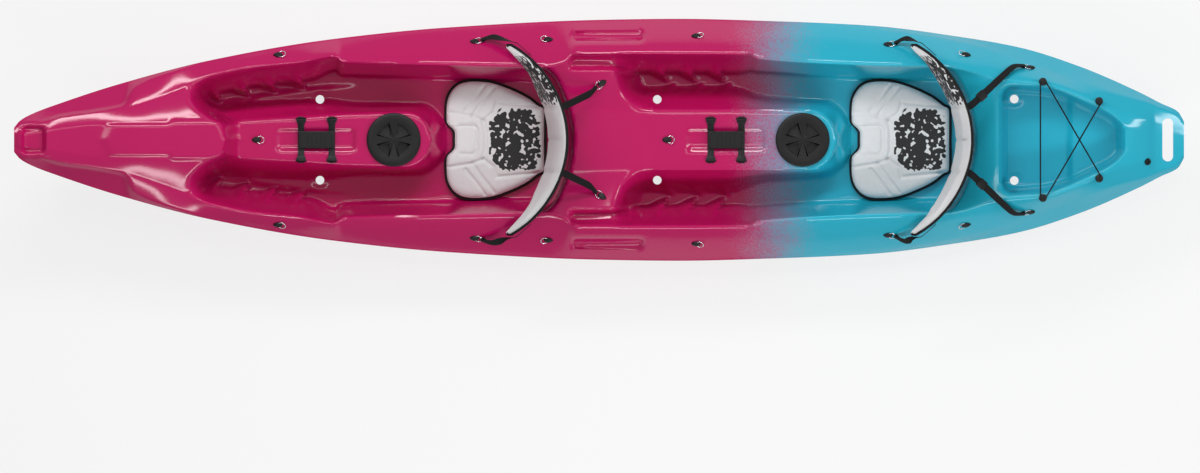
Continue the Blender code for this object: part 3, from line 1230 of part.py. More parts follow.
def make_bungee(skin, parts, materials):
    """Four hooks round the luggage well and one cord laced across it."""
    top = HOOK_HEIGHT
    profile = ((0.0, top), (HOOK_BASE_RADIUS * 0.62, top), (HOOK_BASE_RADIUS * 0.74, top - 0.0015),
               (HOOK_BASE_RADIUS * 0.74, top - 0.0035), (HOOK_NECK_RADIUS, top - 0.0045),
               (HOOK_NECK_RADIUS, 0.004), (HOOK_BASE_RADIUS * 0.92, 0.004), (HOOK_BASE_RADIUS, 0.003),
               (HOOK_BASE_RADIUS, 0.0), (0.0, 0.0))
    frames = {}
    for name, at, share in HOOKS:
        for hand, side in (("left", -1.0), ("right", 1.0)):
            place = hook_place(skin, at, side * share * HALF_BEAM)
            hook = turned(f"bungee_hook_{name}_{hand}", profile, parts, materials["black_plastic"], steps=14)
            hook.location = place + Vector((0, 0, GAP))
            shade(hook)
            frames[name, hand] = hook.location.copy()
    order = [("rear", "left"), ("front", "right"), ("front", "left"), ("rear", "right")]
    centres = [frames[key] + Vector((0.0, 0.0, 0.0040 + BUNGEE_RADIUS + 0.0014)) for key in order]
    wrap = HOOK_NECK_RADIUS + BUNGEE_RADIUS + GAP * 3
    headings = [math.atan2((b - a).y, (b - a).x) for a, b in zip(centres, centres[1:])]

    def around(i, angle):
        return centres[i] + Vector((math.cos(angle), math.sin(angle), 0.0)) * wrap

    path = []
    starts = [headings[0] - math.radians(265)] + headings[:-1] + [headings[-1]]
    ends = headings + [headings[-1] + math.radians(265)]
    for i in range(4):
        begin, end = starts[i] - math.pi / 2, ends[i] - math.pi / 2
        while end < begin:
            end += 2 * math.pi
        steps = max(int((end - begin) / math.radians(34)), 2)
        path += [around(i, begin + (end - begin) * k / steps) for k in range(steps + 1)]
        if i < 3:
            leave, meet = path[-1], around(i + 1, starts[i + 1] - math.pi / 2)
            lift = {0: BUNGEE_RADIUS * 1.25, 1: 0.0, 2: -BUNGEE_RADIUS * 1.25}[i]
            for t in (0.30, 0.45, 0.55, 0.70):
                bump = 1.0 if 0.4 < t < 0.6 else 0.5
                path.append(leave.lerp(meet, t) + Vector((0, 0, lift * bump)))
    shade(tube("bungee_cord", path, BUNGEE_RADIUS, parts, materials["webbing"]), 60.0)


def make_drain(hull, skin, parts, cutters, materials):
    """Screw plug with its washer, in a bore through the stern into the hold."""
    position, normal = footing(skin, along(DRAIN_STATION), DRAIN_OFFSET, GASKET_RADIUS * 1.15)
    place = frame_at(position, normal, Vector((1.0, 0.0, 0.0)))
    washer = turned("drain_gasket", (
        (DRAIN_STEM_RADIUS + GAP, GASKET_THICKNESS), (GASKET_RADIUS, GASKET_THICKNESS), (GASKET_RADIUS, 0.0),
        (DRAIN_STEM_RADIUS + GAP, 0.0)), parts, materials["black_rubber"], steps=24, closed=True)
    foot = GASKET_THICKNESS + GAP
    plug = turned("drain_plug", (
        (0.0, foot + DRAIN_CAP_HEIGHT), (DRAIN_CAP_RADIUS - 0.001, foot + DRAIN_CAP_HEIGHT),
        (DRAIN_CAP_RADIUS, foot + DRAIN_CAP_HEIGHT - 0.001), (DRAIN_CAP_RADIUS, foot),
        (DRAIN_STEM_RADIUS, foot), (DRAIN_STEM_RADIUS, foot - DRAIN_STEM_LENGTH), (0.0, foot - DRAIN_STEM_LENGTH)),
        parts, materials["black_plastic"], steps=24)
    slot = rounded_outline(DRAIN_CAP_RADIUS * 1.3, 0.0028, 0.0012)
    rings = [[(x, y, z) for x, y in slot] for z in (foot + DRAIN_CAP_HEIGHT - 0.0022, foot + 0.02)]
    cutter = hide(new_object("plug_slot", loft("plug_slot", rings), cutters))
    bore = hide(cylinder("drain_bore", DRAIN_STEM_RADIUS + GAP, -DRAIN_BORE_DEPTH, 0.02, 0.0, 0.0, cutters, 24))
    for obj in (washer, plug, cutter, bore):
        obj.matrix_world = place
    boolean(plug, cutter, "DIFFERENCE")
    boolean(hull, bore, "DIFFERENCE")
    shade(washer)
    shade(plug)


def main():
    for obj in list(bpy.data.objects):
        bpy.data.objects.remove(obj)
    parts = bpy.data.collections.new("kayak")
    cutters = bpy.data.collections.new("cutters")
    for collection in (parts, cutters):
        bpy.context.scene.collection.children.link(collection)
    materials = {}
    for name, (colour, roughness, metallic) in MATERIALS.items():
        material = bpy.data.materials.new(name)
        material.use_nodes = True
        shader = material.node_tree.nodes["Principled BSDF"]
        shader.inputs["Base Color"].default_value = (*colour, 1.0)
        shader.inputs["Roughness"].default_value = roughness
        shader.inputs["Metallic"].default_value = metallic
        materials[name] = material
    hull, skin = make_hull(parts, cutters, materials["bow_plastic"])
    recesses = (FRONT_RECESS_STATION, REAR_RECESS_STATION)
    for prefix, cockpit, at, recess in zip(("front", "rear"), COCKPITS, HATCH_STATIONS, recesses):
        make_hatch(prefix, cockpit, at, parts, cutters, materials)
        make_seat_pad(prefix, cockpit, parts, materials)
        make_backrest(prefix, cockpit, parts, materials)
        make_console_straps(prefix, cockpit, recess, parts, materials)
    eyes = make_eyes(skin, parts, cutters, materials)
    make_straps(eyes, parts, cutters, materials)
    make_bungee(skin, parts, materials)
    make_drain(hull, skin, parts, cutters, materials)


main()
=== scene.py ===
"""Dresses the tandem sit-on-top kayak: fine hull skin, hatches, padded seats, webbing, cord and a plain studio.

Metres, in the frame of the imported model: the bow at -X, the stern at +X, +Z up, the ground at Z 0.
"""

import functools
import math

import bmesh
import bpy
import numpy as np
from mathutils import Matrix, Vector


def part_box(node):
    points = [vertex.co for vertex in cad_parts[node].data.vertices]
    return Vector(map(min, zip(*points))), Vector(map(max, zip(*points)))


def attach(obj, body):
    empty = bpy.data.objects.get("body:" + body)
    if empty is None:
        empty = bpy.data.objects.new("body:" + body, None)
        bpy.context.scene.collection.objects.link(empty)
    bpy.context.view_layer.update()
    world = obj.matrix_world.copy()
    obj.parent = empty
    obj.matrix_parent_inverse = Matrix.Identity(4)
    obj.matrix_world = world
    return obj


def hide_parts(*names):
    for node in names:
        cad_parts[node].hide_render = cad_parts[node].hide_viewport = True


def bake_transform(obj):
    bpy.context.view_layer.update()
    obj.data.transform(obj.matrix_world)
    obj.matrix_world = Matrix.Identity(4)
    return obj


bl_info = {
    "name": "Tandem kayak",
    "version": (1, 0, 0),
    "blender": (4, 5, 0),
    "location": "View3D > Sidebar > Kayak",
    "description": "Builds the looks of a tandem sit-on-top kayak around its solids",
    "category": "Add Mesh",
}

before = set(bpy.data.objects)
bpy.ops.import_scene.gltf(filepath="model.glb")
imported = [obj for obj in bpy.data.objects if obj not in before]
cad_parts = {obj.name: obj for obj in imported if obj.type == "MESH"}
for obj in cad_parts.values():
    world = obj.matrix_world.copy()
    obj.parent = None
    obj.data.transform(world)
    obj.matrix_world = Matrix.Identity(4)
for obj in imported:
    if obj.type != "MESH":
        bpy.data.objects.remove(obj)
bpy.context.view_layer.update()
HULL_BODY = "hull_body"
HANDS = ("left", "right")
PREFIXES = ("front", "rear")

# Hull lines, as the solids have them
HULL_LENGTH = 3.960
HULL_BEAM = 0.819
HULL_HEIGHT = 0.495
FLOOR_OVER_BOTTOM = 0.034
GAP = 0.0003
HALF_BEAM = HULL_BEAM / 2

# Lines of the hull: (station, share of the half beam)
HALF_BREADTH_LINE = (
    (0.0, 0.10), (0.005, 0.157), (0.015, 0.2125), (0.0393, 0.3016), (0.0906, 0.4628),
    (0.1675, 0.657), (0.2702, 0.830), (0.3727, 0.930), (0.5008, 0.9915), (0.568, 1.0),
    (0.654, 0.979), (0.732, 0.944), (0.808, 0.852), (0.860, 0.762), (0.911, 0.6056),
    (0.9624, 0.3907), (0.980, 0.303), (0.9949, 0.233), (1.0, 0.150),
)
# Lines of the hull: (station, share of the hull's height)
KEEL_LINE = (
    (0.0, 0.950), (0.006, 0.864), (0.0222, 0.704), (0.0393, 0.561), (0.0564, 0.444),
    (0.0735, 0.349), (0.0906, 0.280), (0.1162, 0.205), (0.1504, 0.144), (0.1932, 0.103),
    (0.2444, 0.072), (0.3128, 0.041), (0.3812, 0.021), (0.4496, 0.0), (0.7573, 0.0),
    (0.8256, 0.014), (0.8769, 0.034), (0.9111, 0.055), (0.9538, 0.103), (0.9607, 0.157),
    (0.9744, 0.308), (0.9778, 0.369), (0.988, 0.417), (1.0, 0.451),
)
BELLY_LINE = (
    (0.7573, 0.0), (0.8256, 0.060), (0.8769, 0.180), (0.9111, 0.235), (0.9538, 0.320),
    (0.9709, 0.355), (0.9778, 0.369), (0.988, 0.417), (1.0, 0.451),
)
EDGE_LINE = (
    (0.0, 0.964), (0.0197, 0.858), (0.0521, 0.773), (0.0983, 0.687), (0.159, 0.622),
    (0.206, 0.557), (0.3299, 0.424), (0.4496, 0.376), (0.5521, 0.383), (0.6718, 0.414),
    (0.7231, 0.403), (0.7838, 0.387), (0.894, 0.409), (0.9367, 0.434), (0.9709, 0.472),
    (1.0, 0.479),
)
SHOULDER_LINE = (
    (0.0, 0.970), (0.0521, 0.880), (0.0923, 0.810), (0.1025, 0.765), (0.1187, 0.712),
    (0.135, 0.687), (0.157, 0.640), (0.206, 0.568), (0.3299, 0.438), (0.4496, 0.392),
    (0.5521, 0.405), (0.6718, 0.440), (0.7231, 0.452), (0.894, 0.566), (0.925, 0.600),
    (0.9624, 0.560), (1.0, 0.495),
)
RAIL_LINE = (
    (0.0, 0.978), (0.0444, 0.916), (0.0923, 0.850), (0.1162, 0.790), (0.1504, 0.705),
    (0.1932, 0.668), (0.2444, 0.632), (0.3299, 0.617), (0.3983, 0.622), (0.4667, 0.639),
    (0.535, 0.650), (0.6034, 0.663), (0.6718, 0.684), (0.7573, 0.704), (0.8085, 0.722),
    (0.8769, 0.711), (0.9282, 0.691), (0.9538, 0.660), (0.968, 0.608), (0.976, 0.560),
    (0.988, 0.526), (1.0, 0.498),
)
RIDGE_LINE = (
    (0.0, 0.976), (0.0085, 0.998), (0.0394, 0.950), (0.0701, 0.913), (0.0992, 0.889),
    (0.1333, 0.838), (0.159, 0.808), (0.190, 0.780), (0.44, 0.560), (0.483, 0.552),
    (0.52, 0.500), (0.58, 0.490), (0.79, 0.560), (0.815, 0.620), (0.845, 0.700),
    (0.94, 0.700), (0.9538, 0.672), (0.968, 0.610), (0.976, 0.562), (0.988, 0.528),
    (1.0, 0.500),
)
# Tracks across the deck: (station, share of the half beam)
RAIL_TRACK = (
    (0.0, 0.063), (0.0394, 0.195), (0.0923, 0.264), (0.1263, 0.366), (0.1452, 0.436),
    (0.1675, 0.523), (0.2008, 0.593), (0.2427, 0.635), (0.2743, 0.684), (0.2803, 0.640),
    (0.3662, 0.618), (0.4538, 0.600), (0.470, 0.640), (0.482, 0.712), (0.6280, 0.706),
    (0.6364, 0.668), (0.7323, 0.615), (0.80, 0.600), (0.8422, 0.500), (0.880, 0.473),
    (0.930, 0.290), (0.9470, 0.200), (0.975, 0.150), (1.0, 0.070),
)
SHOULDER_INSET_LINE = (
    (0.0, 0.020), (0.0394, 0.120), (0.0923, 0.168), (0.1025, 0.069), (0.1187, 0.030),
    (0.135, 0.020), (0.157, 0.012), (0.70, 0.026), (0.798, 0.038), (0.899, 0.130),
    (0.94, 0.100), (0.974, 0.045), (1.0, 0.030),
)
CONSOLE_TOP_TRACK = (
    (0.0, 0.040), (0.08, 0.125), (0.17, 0.135), (0.20, 0.160), (0.24, 0.182),
    (0.30, 0.222), (0.48, 0.250), (0.72, 0.250), (0.93, 0.130), (1.0, 0.030),
)
CONSOLE_FOOT_TRACK = (
    (0.0, 0.052), (0.08, 0.165), (0.17, 0.290), (0.24, 0.325), (0.262, 0.325),
    (0.30, 0.290), (0.48, 0.310), (0.53, 0.430), (0.61, 0.440), (0.645, 0.345),
    (0.72, 0.310), (0.93, 0.180), (1.0, 0.045),
)

# Cross section below the edge: shares of the half breadth and of the side's depth
BOTTOM_TRACKS = ("side", "chine", "runner_out", "runner_in", "channel_out", "channel_in", "keel")
MIDSHIP_SECTION = ((0.91, 0.45), (0.86, 0.16), (0.80, 0.0), (0.575, 0.0), (0.525, 0.10), (0.37, 0.10), (0.32, 0.0))
BOW_SECTION = ((0.80, 0.72), (0.65, 0.50), (0.50, 0.34), (0.36, 0.22), (0.25, 0.14), (0.13, 0.06), (0.06, 0.02))
STERN_SECTION = ((0.80, 0.38), (0.68, 0.27), (0.54, 0.17), (0.38, 0.09), (0.25, 0.03), (0.10, 0.0), (0.075, 0.0))
BOW_SECTION_END = 0.30
STERN_SECTION_START = 0.76
STERN_SECTION_END = 0.90

# Cockpits
SEAT_PITCH = 1.371
FRONT_SEAT_STATION = 0.4141
SEAT_FLOOR_HEIGHT = 0.105
REAR_SEAT_RISE = 0.040
FOOT_FLOOR_HEIGHT = 0.078
REAR_FOOT_FLOOR_RISE = 0.010
CONSOLE_HEIGHT = 0.222
REAR_CONSOLE_RISE = 0.018
WALL_RUN_AT_FEET = 0.068
WALL_RUN_AT_SEAT = 0.046
FRONT_BULKHEAD_REACH = 0.260
REAR_BULKHEAD_REACH = 0.247
BULKHEAD_RUN = 0.045
BULKHEAD_CURVE = 1.4
FOREDECK_DROP_RUN = 0.055
NOSE_END_AHEAD = 0.178
NOSE_TOP_AHEAD = 0.230
NOSE_LENGTH = 0.090
RIB_PITCH = 0.0955
RIB_REACH = 0.036
RIB_SUNK = 0.006
RIBS_FRONT = 4
RIBS_REAR = 3
FIRST_RIB_STATION = 0.1560
FIRST_REAR_RIB_STATION = 0.5380
CONSOLE_RECESS_LENGTH = 0.265
CONSOLE_RECESS_WIDTH = 0.0728
CONSOLE_RECESS_DEPTH = 0.012
FRONT_RECESS_STATION = 0.2585
REAR_RECESS_STATION = 0.6086

# Deck pockets
TANK_WELL_DEPTH = 0.135
TANK_WELL_START_STATION = 0.8420
TANK_WELL_END_STATION = 0.9500
TANK_WELL_WALL = 0.030
TANK_WELL_HALF_WIDTH = 0.188
TANK_WELL_MARGIN = 0.013
TANK_STEP_HEIGHT = 0.022
TANK_STEP_STATION = 0.9000
BOW_POCKET_STATION = 0.0166
BOW_POCKET_LENGTH = 0.085
BOW_POCKET_WIDTH = 0.100
BOW_POCKET_DEPTH = 0.026
SIDE_HANDLE_STATION = 0.5075
SIDE_HANDLE_LENGTH = 0.252
SIDE_HANDLE_WIDTH = 0.042
SIDE_HANDLE_DEPTH = 0.024
SIDE_HANDLE_REACH = 0.350

# Openings through the hull
SCUPPER_BORE_RADIUS = 0.0145
SCUPPER_DISH_RADIUS = 0.027
SCUPPER_DISH_DEPTH = 0.004
SCUPPERS = ((0.2615, 0.1367), (0.5498, 0.1367), (0.8549, 0.1380))
STERN_SLOT_STATION = 0.9861
STERN_SLOT_LENGTH = 0.036
STERN_SLOT_WIDTH = 0.146
BOW_SLOT_REACH = 0.077
BOW_SLOT_MOUTH = 0.036
BOW_SLOT_ROOT = 0.012

# Hatches
HATCH_STATIONS = (0.3245, 0.6740)
LID_RADIUS = 0.0914
LID_PLATE = 0.0045
RIM_FLANGE_THICKNESS = 0.0040
COLLAR_OUTER_RADIUS = 0.0765
HATCH_CLEARANCE = 0.0010
SEAL_THICKNESS = 0.0022
LID_BOWL_RADIUS = 0.0560
LID_BOWL_DEPTH = 0.0110
LID_GRIP_BAR = 0.0150
LID_SKIN = 0.0030
LID_POCKET_RISE = 0.4

# Seats
SEAT_LENGTH = 0.341
SEAT_FORWARD = 0.0105
SEAT_HALF_WIDTH = HULL_BEAM * 0.2479
SEAT_REAR_HALF_WIDTH = SEAT_HALF_WIDTH * 0.586
SEAT_THICKNESS = 0.036
SEAT_NOTCH_DEPTH = 0.028
SEAT_NOTCH_HALF_WIDTH = 0.043
BACKREST_HALF_WIDTH = 0.322
BACKREST_TOP_HEIGHT = 0.497
REAR_BACKREST_RISE = 0.041
BACKREST_TIP_TOP = 0.334
BACKREST_FOOT_LIFT = 0.047
BACKREST_RAIL_CLEARANCE = 0.012
BACKREST_REACH = 0.2335
BACKREST_WRAP = 0.150
BACKREST_LEAN = 0.050
BACKREST_PAD = 0.018
BACKREST_FOLD = 0.115
BACKREST_SHELL = 0.004
BACKREST_TIP_HEIGHT = 0.030

# Deck fittings
EYE_LENGTH = 0.032
EYE_WIDTH = 0.021
EYE_THICKNESS = 0.007
EYE_LOOP_RADIUS = 0.0125
EYE_WIRE_RADIUS = 0.0014
EYE_LOOP_SET_BACK = 0.003
EYE_LOOP_LEAN = math.radians(12)
EYE_LOOP_HEIGHT = 0.0052
BUNGEE_RADIUS = 0.0025
HOOK_BASE_RADIUS = 0.0135
HOOK_NECK_RADIUS = 0.0050
HOOK_HEIGHT = 0.017
HOOK_FOOT = 0.0040
# Bungee: its room over a hook's foot, its turn round the end hooks, and its rise over each run in its radius
BUNGEE_ROOM = 0.0014
BUNGEE_END_TURN = math.radians(265)
BUNGEE_RISES = (1.25, 0.0, -1.25)

# Fineness of the hull skin
STATIONS = 500
COLUMN_STEPS = (5, 5, 8, 7, 7, 8, 8, 8, 6, 10)
BLUR_ASIDE = ((-0.0050, 1.0), (-0.0025, 2.0), (0.0, 3.0), (0.0025, 2.0), (0.0050, 1.0))
BLUR_ALONG = ((-0.0040, 1.0), (0.0, 2.0), (0.0040, 1.0))
SIDE_STEPS = (5, 2, 2, 3, 2, 2, 2, 4)

# Hollow between the rail and the deck, ahead of the rear foot wells
TRENCH_MIDDLE = 0.010
TRENCH_REACH = 0.262
TRENCH_LENGTH = 0.230
TRENCH_WIDTH = 0.060
TRENCH_DEPTH = 0.034

# Lean that the backrests' lower edges have over the plain solids: at the middle, and at the wings
MIDDLE_LEAN = 0.008
WING_LEAN = 0.034
WING_ROUNDING = 0.72

# Fineness of the backrests, the widths of their pressed folds, and the height and rear mark of their pattern
BACKREST_COLUMNS = 96
BACKREST_ROWS = 26
FOLD_WIDTH = 0.008
SPINE_WIDTH = 0.005
PATTERN_HEIGHT = 0.25
REAR_MARK = 0.1

# Cloth over the pads: its cell, its frames, its pressure and mass, and how far it may blow out
CLOTH_CELL = 0.005
CLOTH_FRAMES = 20
CLOTH_QUALITY = 5
CLOTH_PRESSURE = 4.0
CLOTH_MASS = 0.3
PUFF = 0.003

# Rings of a seat pad from its base to its middle: (share of the outline, share of the thickness)
SEAT_RINGS = (
    (0.955, 0.02), (0.974, 0.14), (0.984, 0.34), (0.984, 0.56), (0.972, 0.76), (0.950, 0.90),
    (0.920, 0.97), (0.880, 1.0), (0.70, 0.99), (0.45, 0.95), (0.20, 0.93), (0.04, 0.93),
)

# Channels pressed into a seat: half of each, as (fore and aft, sideways) from the seat's middle
SEAT_CHANNELS = (
    ((-0.158, 0.093), (-0.078, 0.080), (-0.042, 0.066)),
    ((-0.078, 0.080), (-0.052, 0.118), (-0.004, 0.178)),
    ((-0.102, 0.100), (-0.070, 0.138), (-0.036, 0.184)),
    ((-0.042, 0.066), (-0.006, 0.092), (0.004, 0.126), (0.150, 0.112)),
    ((-0.042, 0.066), (-0.034, 0.030), (-0.034, 0.0)),
    ((-0.118, 0.048), (-0.074, 0.050), (-0.060, 0.034), (-0.060, 0.0)),
)

# Where the channels begin on a pad's side and over what rise, and the shallow panel behind the notch
SEAT_RELIEF_START = 0.62
SEAT_RELIEF_RUN = 0.25
SEAT_PANEL_END = -0.060
SEAT_PANEL_HALF_WIDTH = 0.048
SEAT_PANEL_DEPTH = 0.003

# Generic mottle of the seats' middle panels: where it starts and ends, its half width and how it fades
MOTTLE_FRONT = -0.026
MOTTLE_REAR = 0.158
MOTTLE_HALF_WIDTH = 0.112
MOTTLE_FADE = 0.20
# How far that mottle stays from the pad's edge and from the channels, and how it fades there
MOTTLE_EDGE_ROOM = 0.022
MOTTLE_EDGE_FADE = 0.010
MOTTLE_CHANNEL_ROOM = 0.010
MOTTLE_CHANNEL_FADE = 0.008
# The same mottle on one wing of each backrest: where it starts and ends, and how it fades
WING_MOTTLE_START = 0.120
WING_MOTTLE_END = 0.300
WING_MOTTLE_FADE = 0.03

# Hollow under each hatch: (reach from its middle, share of its half width, how far floor and roof close in)
HATCH_MOUTH_DEPTH = 0.060
HOLD_HALF_WIDTH = 0.072
HOLD_BED = 0.02
HOLD_RINGS = ((-0.26, 0.6, 0.02), (-0.10, 1.0, 0.0), (0.10, 1.0, 0.0), (0.14, 0.6, 0.02))

# Studio: the floor's half side, height and glow to the camera, and each light's place, size and power share
FLOOR_HALF = 30
FLOOR_HEIGHT = -0.001
FLOOR_GLOW = 0.97
FLOOR_GLOW_SHARE = 0.80
LIGHTS = (
    ("key_light", (-0.6, 2.6, 3.2), (4.5, 0.5), 1.0),
    ("fill_light", (0.8, -2.9, 2.6), (4.5, 0.4), 0.6),
    ("stern_light", (3.8, 0.6, 2.4), (0.5, 2.0), 0.30),
    ("top_light", (0.0, 0.9, 5.4), (6.0, 0.35), 0.35),
)
LIGHTS_AIM = (0.0, 0.0, 0.2)

# Deck eyes: pairs at the sides, and single ones ahead of the consoles
EYE_NAMES = ("bow_side", "front_strap", "front_side", "mid_side", "front_back_strap", "rear_strap", "rear_side",
             "rear_back_strap")
CENTRE_EYES = ("front_console_eye", "rear_console_eye")
FIRST_CENTRE_EYE_STATION = 0.2072
EYE_SLOPE_REACH = 0.012

# Camera, from the photograph's plan view: the kayak spans these pixels of 1200
PHOTO_WIDTH = 1200
PHOTO_HEIGHT = 473
PHOTO_BOW_PIXEL = 14
PHOTO_STERN_PIXEL = 1184
PHOTO_MIDDLE_ROW = 139.8
CAMERA_HEIGHT = 6.0


# Small mathematics
def smooth(t):
    """A step from 0 to 1 with level ends."""
    t = np.clip(t, 0.0, 1.0)
    return t * t * (3.0 - 2.0 * t)


def between(a, b, t):
    return a + (b - a) * t


def line(points, scale=1.0):
    """A smooth curve through the points that never overshoots them."""
    at = np.array([p[0] for p in points], float)
    value = np.array([p[1] for p in points], float) * scale
    run = np.diff(at)
    slope = np.diff(value) / run
    tangent = np.zeros(len(points))
    both = slope[:-1] * slope[1:]
    total = slope[:-1] + slope[1:]
    tangent[1:-1] = np.where(both > 0, 2 * both / np.where(total == 0, 1, total), 0.0)
    tangent[0], tangent[-1] = slope[0], slope[-1]

    def value_at(u):
        u = np.asarray(u, float)
        k = np.clip(np.searchsorted(at, u) - 1, 0, len(at) - 2)
        t = np.clip((u - at[k]) / run[k], 0.0, 1.0)
        a = (1 + 2 * t) * (1 - t) ** 2 * value[k] + t * (1 - t) ** 2 * run[k] * tangent[k]
        return a + t * t * (3 - 2 * t) * value[k + 1] - t * t * (1 - t) * run[k] * tangent[k + 1]

    return value_at


half_breadth = line(HALF_BREADTH_LINE, HALF_BEAM)
keel_height = line(KEEL_LINE, HULL_HEIGHT)
belly_aft = line(BELLY_LINE, HULL_HEIGHT)
edge_height = line(EDGE_LINE, HULL_HEIGHT)
shoulder_height = line(SHOULDER_LINE, HULL_HEIGHT)
rail_height = line(RAIL_LINE, HULL_HEIGHT)
ridge_height = line(RIDGE_LINE, HULL_HEIGHT)
rail_track = line(RAIL_TRACK, HALF_BEAM)
shoulder_inset = line(SHOULDER_INSET_LINE, HALF_BEAM)
console_top_track = line(CONSOLE_TOP_TRACK, HALF_BEAM)
console_foot_track = line(CONSOLE_FOOT_TRACK, HALF_BEAM)


def station(x):
    return x / HULL_LENGTH + 0.5


def along(u):
    return (u - 0.5) * HULL_LENGTH


# Hull below the edge
def belly_height(u):
    return np.where(u < BELLY_LINE[0][0], keel_height(u), belly_aft(u))


def bottom_section(u):
    """Half breadth and height of the points from the edge down to the keel at station u."""
    bow = 1.0 - smooth(u / BOW_SECTION_END)
    stern = smooth((u - STERN_SECTION_START) / (STERN_SECTION_END - STERN_SECTION_START))
    breadth, edge, belly = half_breadth(u), edge_height(u), belly_height(u)
    points = [(breadth, edge)]
    for name, mid, fore, aft in zip(BOTTOM_TRACKS, MIDSHIP_SECTION, BOW_SECTION, STERN_SECTION):
        share = between(between(mid[0], fore[0], bow), aft[0], stern)
        lift = between(between(mid[1], fore[1], bow), aft[1], stern)
        base = keel_height(u) if name == "keel" else belly
        lift = lift * (1.0 - stern) if name == "keel" else lift
        points.append((breadth * share, base + (edge - belly) * lift))
    points.append((np.zeros_like(breadth), keel_height(u)))
    return points


def bottom_height(u, y):
    """Height of the hull's underside at stations u, one row for each, and offsets y."""
    section = bottom_section(u[:, 0])
    across = np.array([p[0] for p in section])[::-1]
    height = np.array([p[1] for p in section])[::-1]
    rows = [np.interp(y[i], across[:, i], height[:, i]) for i in range(len(u))]
    return np.array(rows)


# Deck
def shoulder_track(u):
    return half_breadth(u) - shoulder_inset(u)


def floor_track(u):
    feet = smooth((0.275 - u) / 0.02) + smooth((u - 0.475) / 0.01) * smooth((0.640 - u) / 0.02)
    run = between(WALL_RUN_AT_SEAT, WALL_RUN_AT_FEET, feet)
    return rail_track(u) - np.minimum(run, 0.3 * rail_track(u))


def open_deck(u, y):
    """The deck before its wells are cut: ridge, rail, shoulder and edge."""
    ridge, rail, shoulder, edge = ridge_height(u), rail_height(u), shoulder_height(u), edge_height(u)
    y_ridge = np.minimum(console_top_track(u), 0.85 * rail_track(u))
    y_rail, y_shoulder, y_edge = rail_track(u), shoulder_track(u), half_breadth(u)
    inner = between(ridge, rail, np.clip((y - y_ridge) / (y_rail - y_ridge), 0, 1) ** 1.3)
    outer = between(rail, shoulder, np.clip((y - y_rail) / (y_shoulder - y_rail), 0, 1) ** 1.25)
    flare = between(shoulder, edge, np.clip((y - y_shoulder) / (y_edge - y_shoulder), 0, 1))
    return np.where(y < y_rail, inner, np.where(y < y_shoulder, outer, flare))


class Cockpit:
    """One paddler's tub: foot wells beside a console, a seat floor and a bulkhead."""

    def __init__(self, seat, rise, foot_rise, console_rise, front_edge, bulkhead_reach, ribs, first_rib,
                 backrest_rise):
        self.seat = seat
        self.floor = SEAT_FLOOR_HEIGHT + rise
        self.foot_floor = FOOT_FLOOR_HEIGHT + foot_rise
        self.console = CONSOLE_HEIGHT + console_rise
        self.front_edge = line(front_edge)
        self.ribs, self.first_rib = ribs, first_rib
        self.nose = seat - NOSE_END_AHEAD / HULL_LENGTH
        self.nose_top = seat - NOSE_TOP_AHEAD / HULL_LENGTH
        self.back = seat + bulkhead_reach / HULL_LENGTH
        self.backrest_top = BACKREST_TOP_HEIGHT + backrest_rise

    def floor_height(self, u):
        """Foot wells, a short slope, and the level seat floor."""
        return between(self.foot_floor, self.floor, smooth((u - (self.nose - 0.060)) / 0.050))

    def console_half_widths(self, u):
        """Half widths of the console's top and foot, each drawn in to a round nose."""
        length = NOSE_LENGTH / HULL_LENGTH
        widths = []
        for track, end in ((console_top_track(u), self.nose_top), (console_foot_track(u), self.nose)):
            to_end = np.clip((u - (end - length)) / length, 0, 1)
            widths.append(track * np.sqrt(np.clip(1.0 - to_end**2, 0, 1)))
        return widths[0], np.maximum(widths[1], widths[0] + 0.004)

    def height(self, u, y):
        y_floor, y_rail = floor_track(u), rail_track(u)
        level = np.maximum(self.floor_height(u), bottom_height(u, y) + FLOOR_OVER_BOTTOM)
        rise = np.clip((y - y_floor) / (y_rail - y_floor), 0, 1)
        wall = between(level, rail_height(u), rise)
        y_top, y_foot = self.console_half_widths(u)
        side = np.clip((y_foot - y) / (y_foot - y_top), 0, 1)
        to_end = np.clip((self.nose - u) / (self.nose - self.nose_top), 0, 1)
        console = between(level, self.console, np.minimum(side, to_end))
        return np.maximum(wall, console)

    def depth_share(self, u, y):
        """1 inside the tub and 0 on the deck around its front edge and bulkhead."""
        enter = (u - self.front_edge(np.clip(y / HALF_BEAM, 0, 1))) * HULL_LENGTH
        run = FOREDECK_DROP_RUN + 0.045 * smooth(y / 0.12)
        back = (self.back - u) * HULL_LENGTH - BULKHEAD_CURVE * y**2
        return smooth(enter / run) * smooth(back / BULKHEAD_RUN)

    def cut(self, deck, u, y):
        share = self.depth_share(u, y)
        return np.where(y < rail_track(u), between(deck, np.minimum(self.height(u, y), deck), share), deck)


REAR_SEAT_STATION = FRONT_SEAT_STATION + SEAT_PITCH / HULL_LENGTH
FRONT_EDGE = ((0.0, 0.1795), (0.134, 0.1742), (0.183, 0.1640), (0.232, 0.1560), (0.33, 0.1480), (0.44, 0.1445))
REAR_EDGE = ((0.0, 0.5310), (0.254, 0.5270), (0.293, 0.5230), (0.415, 0.5150), (0.56, 0.5105), (0.72, 0.5095))
COCKPITS = (
    Cockpit(FRONT_SEAT_STATION, 0.0, 0.0, 0.0, FRONT_EDGE, FRONT_BULKHEAD_REACH,
            RIBS_FRONT, FIRST_RIB_STATION, 0.0),
    Cockpit(REAR_SEAT_STATION, REAR_SEAT_RISE, REAR_FOOT_FLOOR_RISE, REAR_CONSOLE_RISE,
            REAR_EDGE, REAR_BULKHEAD_REACH, RIBS_REAR, FIRST_REAR_RIB_STATION, REAR_BACKREST_RISE),
)


